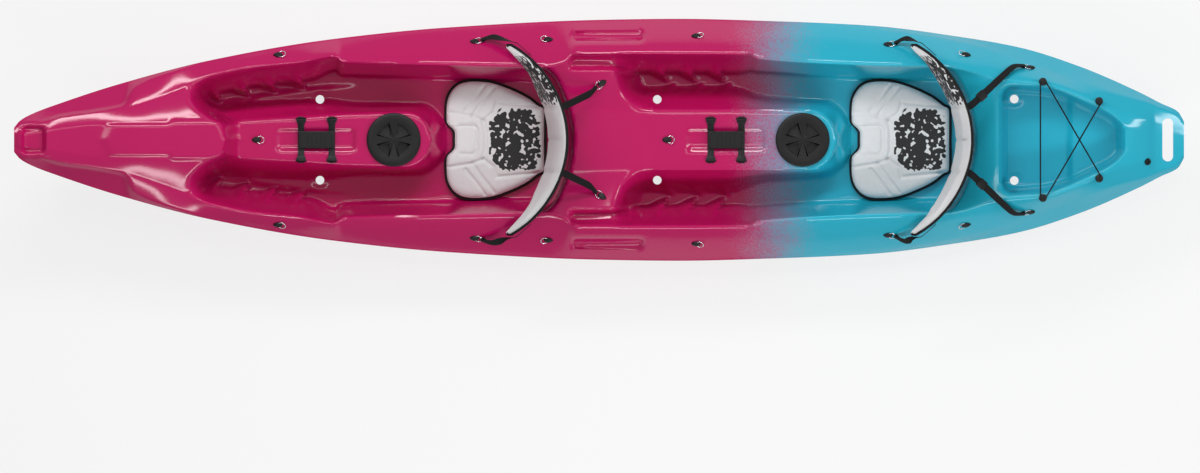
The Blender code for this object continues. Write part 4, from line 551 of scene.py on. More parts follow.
def tank_well(deck, u, y):
    """Luggage well behind the rear seat, narrowing aft, with a raised step at its end."""
    fore = (u - TANK_WELL_START_STATION) * HULL_LENGTH
    aft = (TANK_WELL_END_STATION - u) * HULL_LENGTH
    side = np.minimum(rail_track(u) - TANK_WELL_MARGIN, TANK_WELL_HALF_WIDTH) - y
    ends = np.minimum(fore, aft)
    corner = 0.045
    near = corner - np.hypot(np.maximum(corner - ends, 0), np.maximum(corner - side, 0))
    inside = np.where((ends < corner) & (side < corner), near, np.minimum(ends, side))
    level = RAIL_AT_TANK - TANK_WELL_DEPTH
    step = TANK_STEP_HEIGHT * smooth((u - TANK_STEP_STATION) * HULL_LENGTH / 0.02)
    return between(deck, np.minimum(deck, level + step), smooth(inside / TANK_WELL_WALL))


RAIL_AT_TANK = float(rail_height(TANK_WELL_START_STATION))


def foredeck_plateau(u, y):
    """A slightly raised strip along the middle of the foredeck, stepped out once."""
    half = between(0.052, 0.065, smooth((u - 0.1318) / 0.004))
    along_it = smooth((u - 0.0701 - 0.10 * y) / 0.012)
    return 0.007 * along_it * smooth((half - y) / 0.006 + 0.5) * smooth((0.186 - u) / 0.006)


def deck_height(u, y):
    """Height of the deck's outer surface at stations u and offsets y, both 2D arrays."""
    y = np.abs(y)
    deck = open_deck(u, y) + foredeck_plateau(u, y)
    for cockpit in COCKPITS:
        deck = cockpit.cut(deck, u, y)
    return tank_well(deck, u, y)


def deck_at(x, y):
    return float(deck_height(np.array([[station(x)]]), np.array([[y]]))[0, 0])


# Finer forms of the deck

def boxed(x, y, middle, reach, length, width, corner, run):
    """1 well inside a rectangle with round corners, and 0 at its edge."""
    dx = np.abs(x - middle) - (length / 2 - corner)
    dy = np.abs(y - reach) - (width / 2 - corner)
    out = np.hypot(np.maximum(dx, 0), np.maximum(dy, 0)) + np.minimum(np.maximum(dx, dy), 0)
    return smooth((corner - out) / run)


def wedge(x, y, corners, top):
    """Height of the upper faces of a three-sided pyramid over x and y, and below zero beside it."""
    spots = [np.array(p, float) for p in (*corners, top)]
    upper, lower = np.full(np.broadcast(x, y).shape, 1e3), np.full(np.broadcast(x, y).shape, -1e3)
    for k, away in enumerate(spots):
        a, b, c = (spot for i, spot in enumerate(spots) if i != k)
        normal = np.cross(b - a, c - a)
        if normal @ (away - a) > 0:
            normal = -normal
        if abs(normal[2]) < 1e-9:
            continue
        plane = a[2] - (normal[0] * (x - a[0]) + normal[1] * (y - a[1])) / normal[2]
        if normal[2] > 0:
            upper = np.minimum(upper, plane)
        else:
            lower = np.maximum(lower, plane)
    return np.where(upper > lower, upper, -1.0)


def ribs_over(deck, x, y):
    """Foot ribs on the outer walls and scallops on the sides of the consoles."""
    for n, cockpit in enumerate(COCKPITS):
        for i in range(cockpit.ribs):
            start = float(along(cockpit.first_rib)) + i * RIB_PITCH
            places = np.array([start, start + RIB_PITCH * 0.80, start + RIB_PITCH * 0.42])
            floors, rails = floor_track(station(places)), rail_track(station(places))
            foot = float(console_foot_track(station(places[1])))
            level = deck_at(start + RIB_PITCH * 0.6, float(between(foot, floors[1], 0.7)))
            low = level - RIB_SUNK
            top = float(between(level, rail_height(station(places[2])), 0.70))
            wall = float(between(floors[2], rails[2], 0.70)) + RIB_SUNK
            corners = [(places[0], floors[0] + RIB_SUNK, low), (places[1], floors[1] + RIB_SUNK, low),
                       (start + RIB_PITCH * 0.92, floors[1] - RIB_REACH, low)]
            deck = np.maximum(deck, wedge(x, y, corners, (places[2], wall, top)))
            if i == 0 and n == 0:
                continue
            places = places + RIB_PITCH * 0.25
            tops, feet = cockpit.console_half_widths(station(places))
            wall = float(between(feet[2], tops[2], 0.55)) - RIB_SUNK
            top = float(between(level, cockpit.console, 0.55))
            corners = [(places[0], feet[0] - RIB_SUNK, low), (places[1], feet[1] - RIB_SUNK, low),
                       (places[0] + RIB_PITCH * 0.92, feet[1] + RIB_REACH * 0.5, low)]
            deck = np.maximum(deck, wedge(x, y, corners, (places[2], wall, top)))
    return deck


# Hollows in the deck: (middle, reach from the keel line, length, width, corner, run of the wall, depth)
HOLLOWS = (
    (along(FRONT_RECESS_STATION), 0.0, CONSOLE_RECESS_LENGTH, CONSOLE_RECESS_WIDTH, 0.012, 0.007, CONSOLE_RECESS_DEPTH),
    (along(REAR_RECESS_STATION), 0.0, CONSOLE_RECESS_LENGTH, CONSOLE_RECESS_WIDTH, 0.012, 0.007, CONSOLE_RECESS_DEPTH),
    (along(SIDE_HANDLE_STATION), SIDE_HANDLE_REACH, SIDE_HANDLE_LENGTH, SIDE_HANDLE_WIDTH, 0.018, 0.013,
     SIDE_HANDLE_DEPTH),
    (along(BOW_POCKET_STATION), 0.0, BOW_POCKET_LENGTH, BOW_POCKET_WIDTH, 0.018, 0.014, BOW_POCKET_DEPTH),
    (TRENCH_MIDDLE, TRENCH_REACH, TRENCH_LENGTH, TRENCH_WIDTH, 0.022, 0.020, TRENCH_DEPTH),
)


def dressed_deck(u, y):
    """The deck with its pockets, recesses, ribs and scupper dishes."""
    x = along(u)
    deck = ribs_over(deck_height(u, y), x, y)
    for middle, reach, length, width, corner, run, depth in HOLLOWS:
        deck = deck - depth * boxed(x, y, middle, reach, length, width, corner, run)
    for at, offset in SCUPPERS:
        reach = np.hypot(x - along(at), y - offset)
        deck = deck - SCUPPER_DISH_DEPTH * smooth((SCUPPER_DISH_RADIUS - reach) / 0.005)
    return deck


def deck_columns(u):
    """Offsets of the deck's grid lines at stations u, from the middle to the edge."""
    breadth, rail, floor, shoulder = half_breadth(u), rail_track(u), floor_track(u), shoulder_track(u)
    top = np.minimum(console_top_track(u), 0.5 * rail)
    foot = np.minimum(np.maximum(console_foot_track(u), top + 0.02 * rail), 0.7 * rail)
    for cockpit in COCKPITS:
        nose = (u > cockpit.nose_top - NOSE_LENGTH / HULL_LENGTH) & (u < cockpit.nose + 0.004)
        y_top, y_foot = cockpit.console_half_widths(u)
        top = np.where(nose, np.maximum(y_top, 0.10 * rail), top)
        foot = np.where(nose, np.maximum(y_foot, 0.16 * rail), foot)
    outer = between(rail, shoulder, 0.5)
    return [np.zeros_like(u), 0.5 * top, top, foot, between(foot, floor, 0.5), floor,
            between(floor, rail, 0.5), rail, outer, shoulder, breadth]


def column_offsets(u):
    """Offsets of the skin's columns, which follow the edges of the rails, wells and consoles."""
    tracks = np.array(deck_columns(u))
    rows = np.pad(tracks, ((0, 0), (2, 2)), mode="edge")
    tracks[1:-1] = np.mean([rows[1:-1, k:k + len(u)] for k in range(5)], axis=0)
    columns = [tracks[0]]
    for k, steps in enumerate(COLUMN_STEPS):
        columns += [between(tracks[k], tracks[k + 1], step / steps) for step in range(1, steps + 1)]
    return np.array(columns).T


def rounded_deck(u, across, breadth):
    """The dressed deck, its edges rounded by averaging over a few millimetres."""
    total, height = 0.0, 0.0
    for ahead, first in BLUR_ALONG:
        at = np.clip(u + ahead / HULL_LENGTH, 0.0, 1.0)
        for aside, second in BLUR_ASIDE:
            height = height + first * second * dressed_deck(at, np.minimum(np.abs(across + aside), breadth))
            total += first * second
    return height / total


def hull_skin_rings():
    """Points round the hull at every station: deck from side to side, then the underside."""
    u = np.linspace(0.0, 1.0, STATIONS)
    across = column_offsets(u)
    deck = rounded_deck(np.repeat(u[:, None], across.shape[1], axis=1), across, half_breadth(u)[:, None])
    deck[:, -1] = edge_height(u)
    section = bottom_section(u)
    y_under = np.array([np.broadcast_to(p[0], u.shape) for p in section]).T
    z_under = np.array([np.broadcast_to(p[1], u.shape) for p in section]).T
    ys, zs = [], []
    for k, steps in enumerate(SIDE_STEPS):
        for step in range(1, steps + 1):
            ys.append(between(y_under[:, k], y_under[:, k + 1], step / steps))
            zs.append(between(z_under[:, k], z_under[:, k + 1], step / steps))
    ys, zs = np.array(ys).T, np.array(zs).T
    for _ in range(2):
        ys[:, 1:-1] = 0.25 * ys[:, :-2] + 0.5 * ys[:, 1:-1] + 0.25 * ys[:, 2:]
        zs[:, 1:-1] = 0.25 * zs[:, :-2] + 0.5 * zs[:, 1:-1] + 0.25 * zs[:, 2:]
    half_y = np.concatenate([across, ys], axis=1)
    half_z = np.concatenate([deck, zs], axis=1)
    ring_y = np.concatenate([half_y, -half_y[:, -2:0:-1]], axis=1)
    ring_z = np.concatenate([half_z, half_z[:, -2:0:-1]], axis=1)
    ring_x = np.repeat(along(u)[:, None], ring_y.shape[1], axis=1)
    return np.stack([ring_x, ring_y, ring_z], axis=2)


# Meshes
ON_AXIS = 1e-6


def mesh_of(name, points, faces, outwards=True):
    mesh = bpy.data.meshes.new(name)
    mesh.from_pydata([tuple(p) for p in points], [], faces)
    if outwards:
        work = bmesh.new()
        work.from_mesh(mesh)
        bmesh.ops.recalc_face_normals(work, faces=work.faces)
        work.to_mesh(mesh)
        work.free()
    return mesh


def new_object(name, mesh, material=None):
    obj = bpy.data.objects.new(name, mesh)
    bpy.context.scene.collection.objects.link(obj)
    if material:
        obj.data.materials.append(material)
    return obj


def loft(name, rings):
    """A closed body through rings of equally many points, its two ends capped."""
    count = len(rings[0])
    points = [p for ring in rings for p in ring]
    faces = []
    for i in range(len(rings) - 1):
        for j in range(count):
            k = (j + 1) % count
            faces.append((i * count + j, i * count + k, (i + 1) * count + k, (i + 1) * count + j))
    faces.append(tuple(range(count)))
    faces.append(tuple(range((len(rings) - 1) * count, len(rings) * count)))
    return mesh_of(name, points, faces)


def turned(name, profile, steps, at):
    """A closed body turned about Z from a profile of (radius, height) that starts and ends on the axis."""
    points, starts = [], []
    for radius, height in profile:
        starts.append(len(points))
        count = 1 if radius < ON_AXIS else steps
        for k in range(count):
            turn = 2 * math.pi * k / steps
            points.append((at[0] + radius * math.cos(turn), at[1] + radius * math.sin(turn), at[2] + height))
    faces = []
    for a in range(len(profile) - 1):
        b = a + 1
        for k in range(steps):
            n = (k + 1) % steps
            if profile[a][0] < ON_AXIS:
                faces.append((starts[a], starts[b] + k, starts[b] + n))
            elif profile[b][0] < ON_AXIS:
                faces.append((starts[a] + k, starts[b], starts[a] + n))
            else:
                faces.append((starts[a] + k, starts[b] + k, starts[b] + n, starts[a] + n))
    return mesh_of(name, points, faces)


def cylinder(name, radius, bottom, top, x, y, steps):
    return turned(name, ((0.0, top), (radius, top), (radius, bottom), (0.0, bottom)), steps, (x, y, 0.0))


def joined(name, meshes):
    """One mesh that holds several that don't touch."""
    work = bmesh.new()
    for mesh in meshes:
        work.from_mesh(mesh)
        bpy.data.meshes.remove(mesh)
    mesh = bpy.data.meshes.new(name)
    work.to_mesh(mesh)
    work.free()
    return mesh


def carve(obj, mesh, operation="DIFFERENCE"):
    """Cuts a mesh from an object, or adds it, and applies the result."""
    other = new_object(f"{obj.name}_cutter", mesh)
    modifier = obj.modifiers.new("carve", "BOOLEAN")
    modifier.operation = operation
    modifier.object = other
    modifier.solver = "MANIFOLD"
    bake(obj)
    bpy.data.objects.remove(other)


def evaluated_mesh(obj):
    """A plain mesh of an object as its modifiers leave it."""
    graph = bpy.context.evaluated_depsgraph_get()
    return bpy.data.meshes.new_from_object(obj.evaluated_get(graph))


def bake(obj):
    """Applies every modifier of an object by taking its evaluated mesh."""
    mesh = evaluated_mesh(obj)
    old = obj.data
    obj.modifiers.clear()
    obj.data = mesh
    mesh.name = obj.name
    if old.users == 0:
        bpy.data.meshes.remove(old)
    return obj


def rounded(obj, width, segments=2, angle=35.0):
    """Rounds the sharp edges of an object."""
    bevel = obj.modifiers.new("round", "BEVEL")
    bevel.width = width
    bevel.segments = segments
    bevel.limit_method = "ANGLE"
    bevel.angle_limit = math.radians(angle)
    return bake(obj)


def subdivided(obj, levels=1):
    finer = obj.modifiers.new("finer", "SUBSURF")
    finer.levels = finer.render_levels = levels
    return bake(obj)


def shade(obj, angle=50.0):
    obj.data.shade_smooth()
    obj.data.set_sharp_from_angle(angle=math.radians(angle))
    return obj


def merged_copy(node, name, material, crease=0.0, levels=0):
    """A finer copy of a solid: its corners merged, and its gentle bends smoothed."""
    work = bmesh.new()
    work.from_mesh(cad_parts[node].data)
    bmesh.ops.remove_doubles(work, verts=work.verts, dist=0.00002)
    bmesh.ops.dissolve_limit(work, angle_limit=math.radians(0.6), verts=work.verts, edges=work.edges)
    bmesh.ops.join_triangles(work, faces=work.faces, angle_face_threshold=3.1, angle_shape_threshold=3.1)
    if crease:
        layer = work.edges.layers.float.new("crease_edge")
        for edge in work.edges:
            if len(edge.link_faces) == 2 and edge.calc_face_angle(0.0) > math.radians(50):
                edge[layer] = crease
    mesh = bpy.data.meshes.new(name)
    work.to_mesh(mesh)
    work.free()
    obj = new_object(name, mesh, material)
    return subdivided(obj, levels) if levels else obj


def place(obj, body, slot, *nodes):
    """Sets what a finished piece rides on, and hides the solids it stands for; its slot is not used."""
    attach(obj, body)
    if nodes:
        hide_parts(*nodes)
    return obj


def refinish(node, finish):
    """Gives a solid that stays in view a finish of its own."""
    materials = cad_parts[node].data.materials
    materials.clear()
    materials.append(material_named(finish))


def rounded_outline(length, width, corner, steps=6):
    """Points of a rectangle with round corners about the origin."""
    points = []
    for i, (sx, sy) in enumerate(((1, 1), (-1, 1), (-1, -1), (1, -1))):
        for k in range(steps + 1):
            turn = math.pi / 2 * (i + k / steps)
            points.append((sx * (length / 2 - corner) + corner * math.cos(turn),
                           sy * (width / 2 - corner) + corner * math.sin(turn)))
    return points


# Node trees

class Shading:
    """A small helper that adds and links the nodes of one tree."""

    def __init__(self, tree):
        self.tree = tree

    def node(self, kind, **values):
        node = self.tree.nodes.new(kind)
        for key, value in values.items():
            if hasattr(node, key) and key not in node.inputs:
                setattr(node, key, value)
            else:
                node.inputs[key].default_value = value
        return node

    def link(self, source, target):
        self.tree.links.new(source, target)

    def math(self, operation, a, b, clamp=False):
        node = self.tree.nodes.new("ShaderNodeMath")
        node.operation = operation
        node.use_clamp = clamp
        for i, value in enumerate((a, b)):
            if isinstance(value, (int, float)):
                node.inputs[i].default_value = value
            else:
                self.link(value, node.inputs[i])
        return node.outputs[0]

    def step(self, value, low, high):
        node = self.tree.nodes.new("ShaderNodeMapRange")
        node.interpolation_type = "SMOOTHSTEP"
        node.inputs["From Min"].default_value = low
        node.inputs["From Max"].default_value = high
        self.link(value, node.inputs["Value"])
        return node.outputs["Result"]

    def mix(self, factor, a, b):
        node = self.tree.nodes.new("ShaderNodeMix")
        node.data_type = "RGBA"
        for socket, value in ((node.inputs["Factor"], factor), (node.inputs[6], a), (node.inputs[7], b)):
            if isinstance(value, bpy.types.NodeSocket):
                self.link(value, socket)
            else:
                socket.default_value = value
        return node.outputs[2]

    def noise(self, vector, scale, detail, roughness=0.5):
        node = self.node("ShaderNodeTexNoise", Scale=scale, Detail=detail, Roughness=roughness)
        self.link(vector, node.inputs["Vector"])
        return node.outputs["Fac"]


def colour(rgb):
    return (rgb[0], rgb[1], rgb[2], 1.0)


def new_group(name, family, inputs, outputs):
    """An empty node group with named inputs and outputs, and its Shading helper."""
    tree = bpy.data.node_groups.new(name, family)
    for label, kind, default in inputs:
        socket = tree.interface.new_socket(name=label, in_out="INPUT", socket_type=kind)
        if default is not None:
            socket.default_value = default
    for label, kind in outputs:
        tree.interface.new_socket(name=label, in_out="OUTPUT", socket_type=kind)
    build = Shading(tree)
    return tree, build, tree.nodes.new("NodeGroupInput"), tree.nodes.new("NodeGroupOutput")


def moulded_grain():
    """Faint unevenness of moulded plastic: a height for a bump, and a change of roughness."""
    name = "moulded_grain"
    if name in bpy.data.node_groups:
        return bpy.data.node_groups[name]
    tree, build, given, result = new_group(
        name, "ShaderNodeTree",
        (("Vector", "NodeSocketVector", None), ("Grain", "NodeSocketFloat", 900.0),
         ("Ripple", "NodeSocketFloat", 30.0), ("Roughness", "NodeSocketFloat", 0.3),
         ("Spread", "NodeSocketFloat", 0.1)),
        (("Height", "NodeSocketFloat"), ("Roughness", "NodeSocketFloat")))
    fine = build.node("ShaderNodeTexNoise", Detail=3.0)
    broad = build.node("ShaderNodeTexNoise", Detail=2.0)
    for node, scale in ((fine, "Grain"), (broad, "Ripple")):
        build.link(given.outputs["Vector"], node.inputs["Vector"])
        build.link(given.outputs[scale], node.inputs["Scale"])
    height = build.math("ADD", build.math("MULTIPLY", fine.outputs["Fac"], 0.25), broad.outputs["Fac"])
    build.link(height, result.inputs["Height"])
    swing = build.math("MULTIPLY", build.math("SUBTRACT", fine.outputs["Fac"], 0.5), given.outputs["Spread"])
    build.link(build.math("ADD", given.outputs["Roughness"], swing, clamp=True), result.inputs["Roughness"])
    return tree


def woven():
    """Crossing threads: a height for a bump, and a mask of the gaps between them, where shade is painted darker."""
    name = "woven_threads"
    if name in bpy.data.node_groups:
        return bpy.data.node_groups[name]
    tree, build, given, result = new_group(
        name, "ShaderNodeTree",
        (("Vector", "NodeSocketVector", None), ("Threads", "NodeSocketFloat", 900.0),
         ("Fuzz", "NodeSocketFloat", 0.3)),
        (("Height", "NodeSocketFloat"), ("Gaps", "NodeSocketFloat")))
    heights = []
    for axis in ("X", "Y"):
        wave = build.node("ShaderNodeTexWave", wave_type="BANDS", bands_direction=axis, Distortion=0.6)
        build.link(given.outputs["Vector"], wave.inputs["Vector"])
        build.link(given.outputs["Threads"], wave.inputs["Scale"])
        heights.append(wave.outputs["Fac"])
    fuzz = build.node("ShaderNodeTexNoise", Scale=2400.0, Detail=2.0)
    build.link(given.outputs["Vector"], fuzz.inputs["Vector"])
    height = build.math("MAXIMUM", heights[0], heights[1])
    fuzzy = build.math("MULTIPLY", fuzz.outputs["Fac"], given.outputs["Fuzz"])
    build.link(build.math("ADD", height, fuzzy), result.inputs["Height"])
    build.link(build.math("SUBTRACT", 1.0, height, clamp=True), result.inputs["Gaps"])
    return tree


def new_material(name):
    material = bpy.data.materials.new(f"{name}_finish")
    material.use_nodes = True
    build = Shading(material.node_tree)
    shader = material.node_tree.nodes["Principled BSDF"]
    return material, build, shader


def add_bump(build, shader, height, strength, distance):
    bump = build.node("ShaderNodeBump", Strength=strength, Distance=distance)
    build.link(height, bump.inputs["Height"])
    build.link(bump.outputs["Normal"], shader.inputs["Normal"])


def add_grain(build, shader, where, values, strength, distance):
    """Gives a shader the grain of moulded plastic, in its roughness and its bump."""
    grain = build.node("ShaderNodeGroup", node_tree=moulded_grain())
    build.link(where, grain.inputs["Vector"])
    for label, value in zip(("Grain", "Ripple", "Roughness", "Spread"), values):
        grain.inputs[label].default_value = value
    build.link(grain.outputs["Roughness"], shader.inputs["Roughness"])
    add_bump(build, shader, grain.outputs["Height"], strength, distance)


def hull_plastic(look):
    """Glossy plastic, blended along the hull from one colour to the other with flecks between."""
    material, build, shader = new_material("hull_plastic")
    where = build.node("ShaderNodeTexCoord").outputs["Object"]
    split = build.node("ShaderNodeSeparateXYZ")
    build.link(where, split.inputs[0])
    clouds = build.noise(where, 9.0, 3.0)
    flecks = build.noise(where, 170.0, 4.0, 0.75)
    drift = build.math("MULTIPLY", build.math("SUBTRACT", clouds, 0.5), 0.10)
    grainy = build.math("MULTIPLY", build.math("SUBTRACT", flecks, 0.5), 0.34)
    along_hull = build.math("ADD", build.math("ADD", split.outputs["X"], drift), grainy)
    blend = build.step(along_hull, look.blend_start, look.blend_end)
    body = build.mix(blend, colour(look.bow_colour), colour(look.stern_colour))
    depth = build.noise(where, 420.0, 3.0)
    tinted = build.node("ShaderNodeHueSaturation")
    build.link(body, tinted.inputs["Color"])
    build.link(build.math("ADD", build.math("MULTIPLY", depth, 0.10), 0.95), tinted.inputs["Value"])
    build.link(tinted.outputs["Color"], shader.inputs["Base Color"])
    add_grain(build, shader, where, (700.0, 14.0, 0.13, 0.06), 0.12, 0.0012)
    return material


def plain_plastic(name, rgb, roughness, grain_scale=900.0, strength=0.25):
    """Satin moulded plastic or rubber in one colour."""
    material, build, shader = new_material(name)
    shader.inputs["Specular IOR Level"].default_value = 0.32
    where = build.node("ShaderNodeTexCoord").outputs["Object"]
    mottle = build.noise(where, 160.0, 3.0)
    lighter = tuple(min(1.0, c * 1.9 + 0.004) for c in rgb)
    build.link(build.mix(mottle, colour(rgb), colour(lighter)), shader.inputs["Base Color"])
    add_grain(build, shader, where, (grain_scale, 60.0, roughness, 0.15), strength, 0.0006)
    return material


def steel_wire():
    material, build, shader = new_material("steel_wire")
    shader.inputs["Metallic"].default_value = 1.0
    where = build.node("ShaderNodeTexCoord").outputs["Object"]
    scratches = build.noise(where, 600.0, 4.0)
    build.link(build.mix(scratches, (0.70, 0.70, 0.72, 1.0), (0.90, 0.90, 0.92, 1.0)), shader.inputs["Base Color"])
    build.link(build.math("ADD", build.math("MULTIPLY", scratches, 0.18), 0.14), shader.inputs["Roughness"])
    return material


def webbing(name, rgb, threads=1100.0):
    """Woven nylon: crossing threads with a faint sheen, the threads painted lighter and the gaps between them painted
    in shade.
    """
    material, build, shader = new_material(name)
    where = build.node("ShaderNodeTexCoord").outputs["Object"]
    weave = build.node("ShaderNodeGroup", node_tree=woven())
    build.link(where, weave.inputs["Vector"])
    weave.inputs["Threads"].default_value = threads / (2 * math.pi)
    # painted light and shade: the threads painted lighter than the nylon's own colour, and painted shade in the gaps
    # between them
    lit = tuple(min(c * 2.0 + 0.001, 0.9) for c in rgb)
    build.link(build.mix(weave.outputs["Gaps"], colour(lit), colour(rgb)), shader.inputs["Base Color"])
    shader.inputs["Roughness"].default_value = 0.68
    shader.inputs["Specular IOR Level"].default_value = 0.22
    add_bump(build, shader, weave.outputs["Height"], 0.5, 0.0006)
    return material


def seat_cloth(look):
    """Pale stretch cloth over foam, mottled black where the attribute says, with a fine knit."""
    material, build, shader = new_material("seat_cloth")
    spot = build.node("ShaderNodeAttribute", attribute_name="pad_place").outputs["Vector"]
    mottle = build.node("ShaderNodeAttribute", attribute_name="mottle").outputs["Fac"]
    faded = build.math("ADD", build.noise(spot, 60.0, 1.0), build.math("MULTIPLY", mottle, 0.20))
    ink = build.math("MULTIPLY", build.step(faded, 0.58, 0.61), build.step(mottle, 0.02, 0.10))
    tone = build.noise(spot, 60.0, 3.0)
    base = build.mix(tone, colour(look.seat_colour), colour([c * 0.90 for c in look.seat_colour]))
    build.link(build.mix(ink, base, (0.008, 0.008, 0.009, 1.0)), shader.inputs["Base Color"])
    weave = build.node("ShaderNodeGroup", node_tree=woven())
    build.link(spot, weave.inputs["Vector"])
    weave.inputs["Threads"].default_value = 170.0
    shader.inputs["Roughness"].default_value = 0.60
    shader.inputs["Sheen Weight"].default_value = 0.10
    add_bump(build, shader, weave.outputs["Height"], 0.18, 0.0005)
    return material


def material_named(name):
    """The finish of that name, made on first use."""
    if f"{name}_finish" in bpy.data.materials:
        return bpy.data.materials[f"{name}_finish"]
    look = bpy.context.scene.kayak_finish
    makers = {
        "hull_plastic": lambda: hull_plastic(look),
        "black_plastic": lambda: plain_plastic("black_plastic", look.fitting_colour, 0.42),
        "black_rubber": lambda: plain_plastic("black_rubber", look.fitting_colour, 0.75, 1500.0, 0.4),
        "steel_wire": steel_wire,
        "webbing": lambda: webbing("webbing", look.webbing_colour),
        "backing": lambda: webbing("backing", look.webbing_colour, 700.0),
        "cord": lambda: webbing("cord", look.webbing_colour, 1500.0),
        "thread": lambda: webbing("thread", [c * 0.7 for c in look.seat_colour], 3000.0),
        "seat_cloth": lambda: seat_cloth(look),
    }
    return makers[name]()


# Geometry node trees

def input_id(tree, label):
    return next(item.identifier for item in tree.interface.items_tree
                if item.name == label and item.in_out == "INPUT")


def geometry_tree(name, inputs):
    """An empty tree from geometry to geometry, with the given inputs after the first."""
    inputs = (("Geometry", "NodeSocketGeometry", None), *inputs)
    return new_group(name, "GeometryNodeTree", inputs, (("Geometry", "NodeSocketGeometry"),))


def send_painted(build, geometry, given, result):
    """Ends a tree: what it made is realized, given its material and sent out."""
    real = build.node("GeometryNodeRealizeInstances")
    build.link(geometry, real.inputs["Geometry"])
    paint = build.node("GeometryNodeSetMaterial")
    build.link(real.outputs["Geometry"], paint.inputs["Geometry"])
    build.link(given.outputs["Material"], paint.inputs["Material"])
    build.link(paint.outputs["Geometry"], result.inputs["Geometry"])


def cord_tree():
    """A round cord along a path."""
    name = "cord_along_path"
    if name in bpy.data.node_groups:
        return bpy.data.node_groups[name]
    tree, build, given, result = geometry_tree(
        name, (("Radius", "NodeSocketFloat", 0.0025), ("Spacing", "NodeSocketFloat", 0.004),
               ("Sides", "NodeSocketInt", 12), ("Material", "NodeSocketMaterial", None)))
    resample = build.node("GeometryNodeResampleCurve", mode="LENGTH")
    build.link(given.outputs["Geometry"], resample.inputs["Curve"])
    build.link(given.outputs["Spacing"], resample.inputs["Length"])
    ring = build.node("GeometryNodeCurvePrimitiveCircle")
    build.link(given.outputs["Sides"], ring.inputs["Resolution"])
    build.link(given.outputs["Radius"], ring.inputs["Radius"])
    sweep = build.node("GeometryNodeCurveToMesh")
    sweep.inputs["Fill Caps"].default_value = True
    build.link(resample.outputs["Curve"], sweep.inputs["Curve"])
    build.link(ring.outputs["Curve"], sweep.inputs["Profile Curve"])
    smooth_faces = build.node("GeometryNodeSetShadeSmooth")
    build.link(sweep.outputs["Mesh"], smooth_faces.inputs["Geometry"])
    send_painted(build, smooth_faces.outputs["Geometry"], given, result)
    return tree


def stitch_tree():
    """A row of short thread stitches along a path."""
    name = "stitches_along_path"
    if name in bpy.data.node_groups:
        return bpy.data.node_groups[name]
    tree, build, given, result = geometry_tree(
        name, (("Pitch", "NodeSocketFloat", 0.006), ("Length", "NodeSocketFloat", 0.004),
               ("Thread", "NodeSocketFloat", 0.0005), ("Material", "NodeSocketMaterial", None)))
    points = build.node("GeometryNodeCurveToPoints", mode="LENGTH")
    build.link(given.outputs["Geometry"], points.inputs["Curve"])
    build.link(given.outputs["Pitch"], points.inputs["Length"])
    stitch = build.node("GeometryNodeMeshCylinder")
    stitch.inputs["Vertices"].default_value = 6
    build.link(given.outputs["Thread"], stitch.inputs["Radius"])
    build.link(given.outputs["Length"], stitch.inputs["Depth"])
    copies = build.node("GeometryNodeInstanceOnPoints")
    build.link(points.outputs["Points"], copies.inputs["Points"])
    build.link(stitch.outputs["Mesh"], copies.inputs["Instance"])
    build.link(points.outputs["Rotation"], copies.inputs["Rotation"])
    send_painted(build, copies.outputs["Instances"], given, result)
    return tree


def along_paths(name, paths, tree, closed=False, **values):
    """Runs a node tree over one curve object made of several paths, and returns a plain mesh object."""
    curve = bpy.data.curves.new(name, "CURVE")
    curve.dimensions = "3D"
    for path in paths:
        spline = curve.splines.new("POLY")
        spline.points.add(len(path) - 1)
        for point, spot in zip(spline.points, path):
            point.co = (*spot, 1.0)
        spline.use_cyclic_u = closed
    source = new_object(f"{name}_path", curve)
    modifier = source.modifiers.new("build", "NODES")
    modifier.node_group = tree
    for label, value in values.items():
        modifier[input_id(tree, label)] = value
    mesh = evaluated_mesh(source)
    mesh.name = name
    bpy.data.objects.remove(source)
    return new_object(name, mesh)


# Settings

class KayakFinish(bpy.types.PropertyGroup):
    """Colours of the kayak and where its two hull colours blend."""

    bow_colour: bpy.props.FloatVectorProperty(
        name="Bow colour", description="Hull colour at the bow", subtype="COLOR",
        default=(0.480, 0.006, 0.105), min=0.0, max=1.0)
    stern_colour: bpy.props.FloatVectorProperty(
        name="Stern colour", description="Hull colour at the stern", subtype="COLOR",
        default=(0.018, 0.410, 0.560), min=0.0, max=1.0)
    blend_start: bpy.props.FloatProperty(
        name="Blend start", description="Where the stern colour begins, from the middle of the hull",
        default=0.44, unit="LENGTH")
    blend_end: bpy.props.FloatProperty(
        name="Blend end", description="Where the bow colour ends, from the middle of the hull",
        default=0.75, unit="LENGTH")
    fitting_colour: bpy.props.FloatVectorProperty(
        name="Fitting colour", description="Colour of the moulded fittings", subtype="COLOR",
        default=(0.0045, 0.0045, 0.005), min=0.0, max=1.0)
    webbing_colour: bpy.props.FloatVectorProperty(
        name="Webbing colour", description="Colour of the webbing and the cord", subtype="COLOR",
        default=(0.004, 0.004, 0.0045), min=0.0, max=1.0)
    seat_colour: bpy.props.FloatVectorProperty(
        name="Seat colour", description="Colour of the seat cloth", subtype="COLOR",
        default=(0.74, 0.74, 0.75), min=0.0, max=1.0)


class KayakSeating(bpy.types.PropertyGroup):
    """Sizes of what is sewn on the seats."""

    piping: bpy.props.FloatProperty(
        name="Piping", description="Radius of the piping round each seat", default=0.0042, unit="LENGTH")
    channel_depth: bpy.props.FloatProperty(
        name="Channel depth", description="Depth of the channels pressed into the seats",
        default=0.0055, unit="LENGTH")
    channel_width: bpy.props.FloatProperty(
        name="Channel width", description="Half width of those channels", default=0.0060, unit="LENGTH")
    stitch_pitch: bpy.props.FloatProperty(
        name="Stitch pitch", description="Distance from one stitch to the next", default=0.006, unit="LENGTH")
    thread: bpy.props.FloatProperty(
        name="Thread", description="Radius of the sewing thread", default=0.0006, unit="LENGTH")


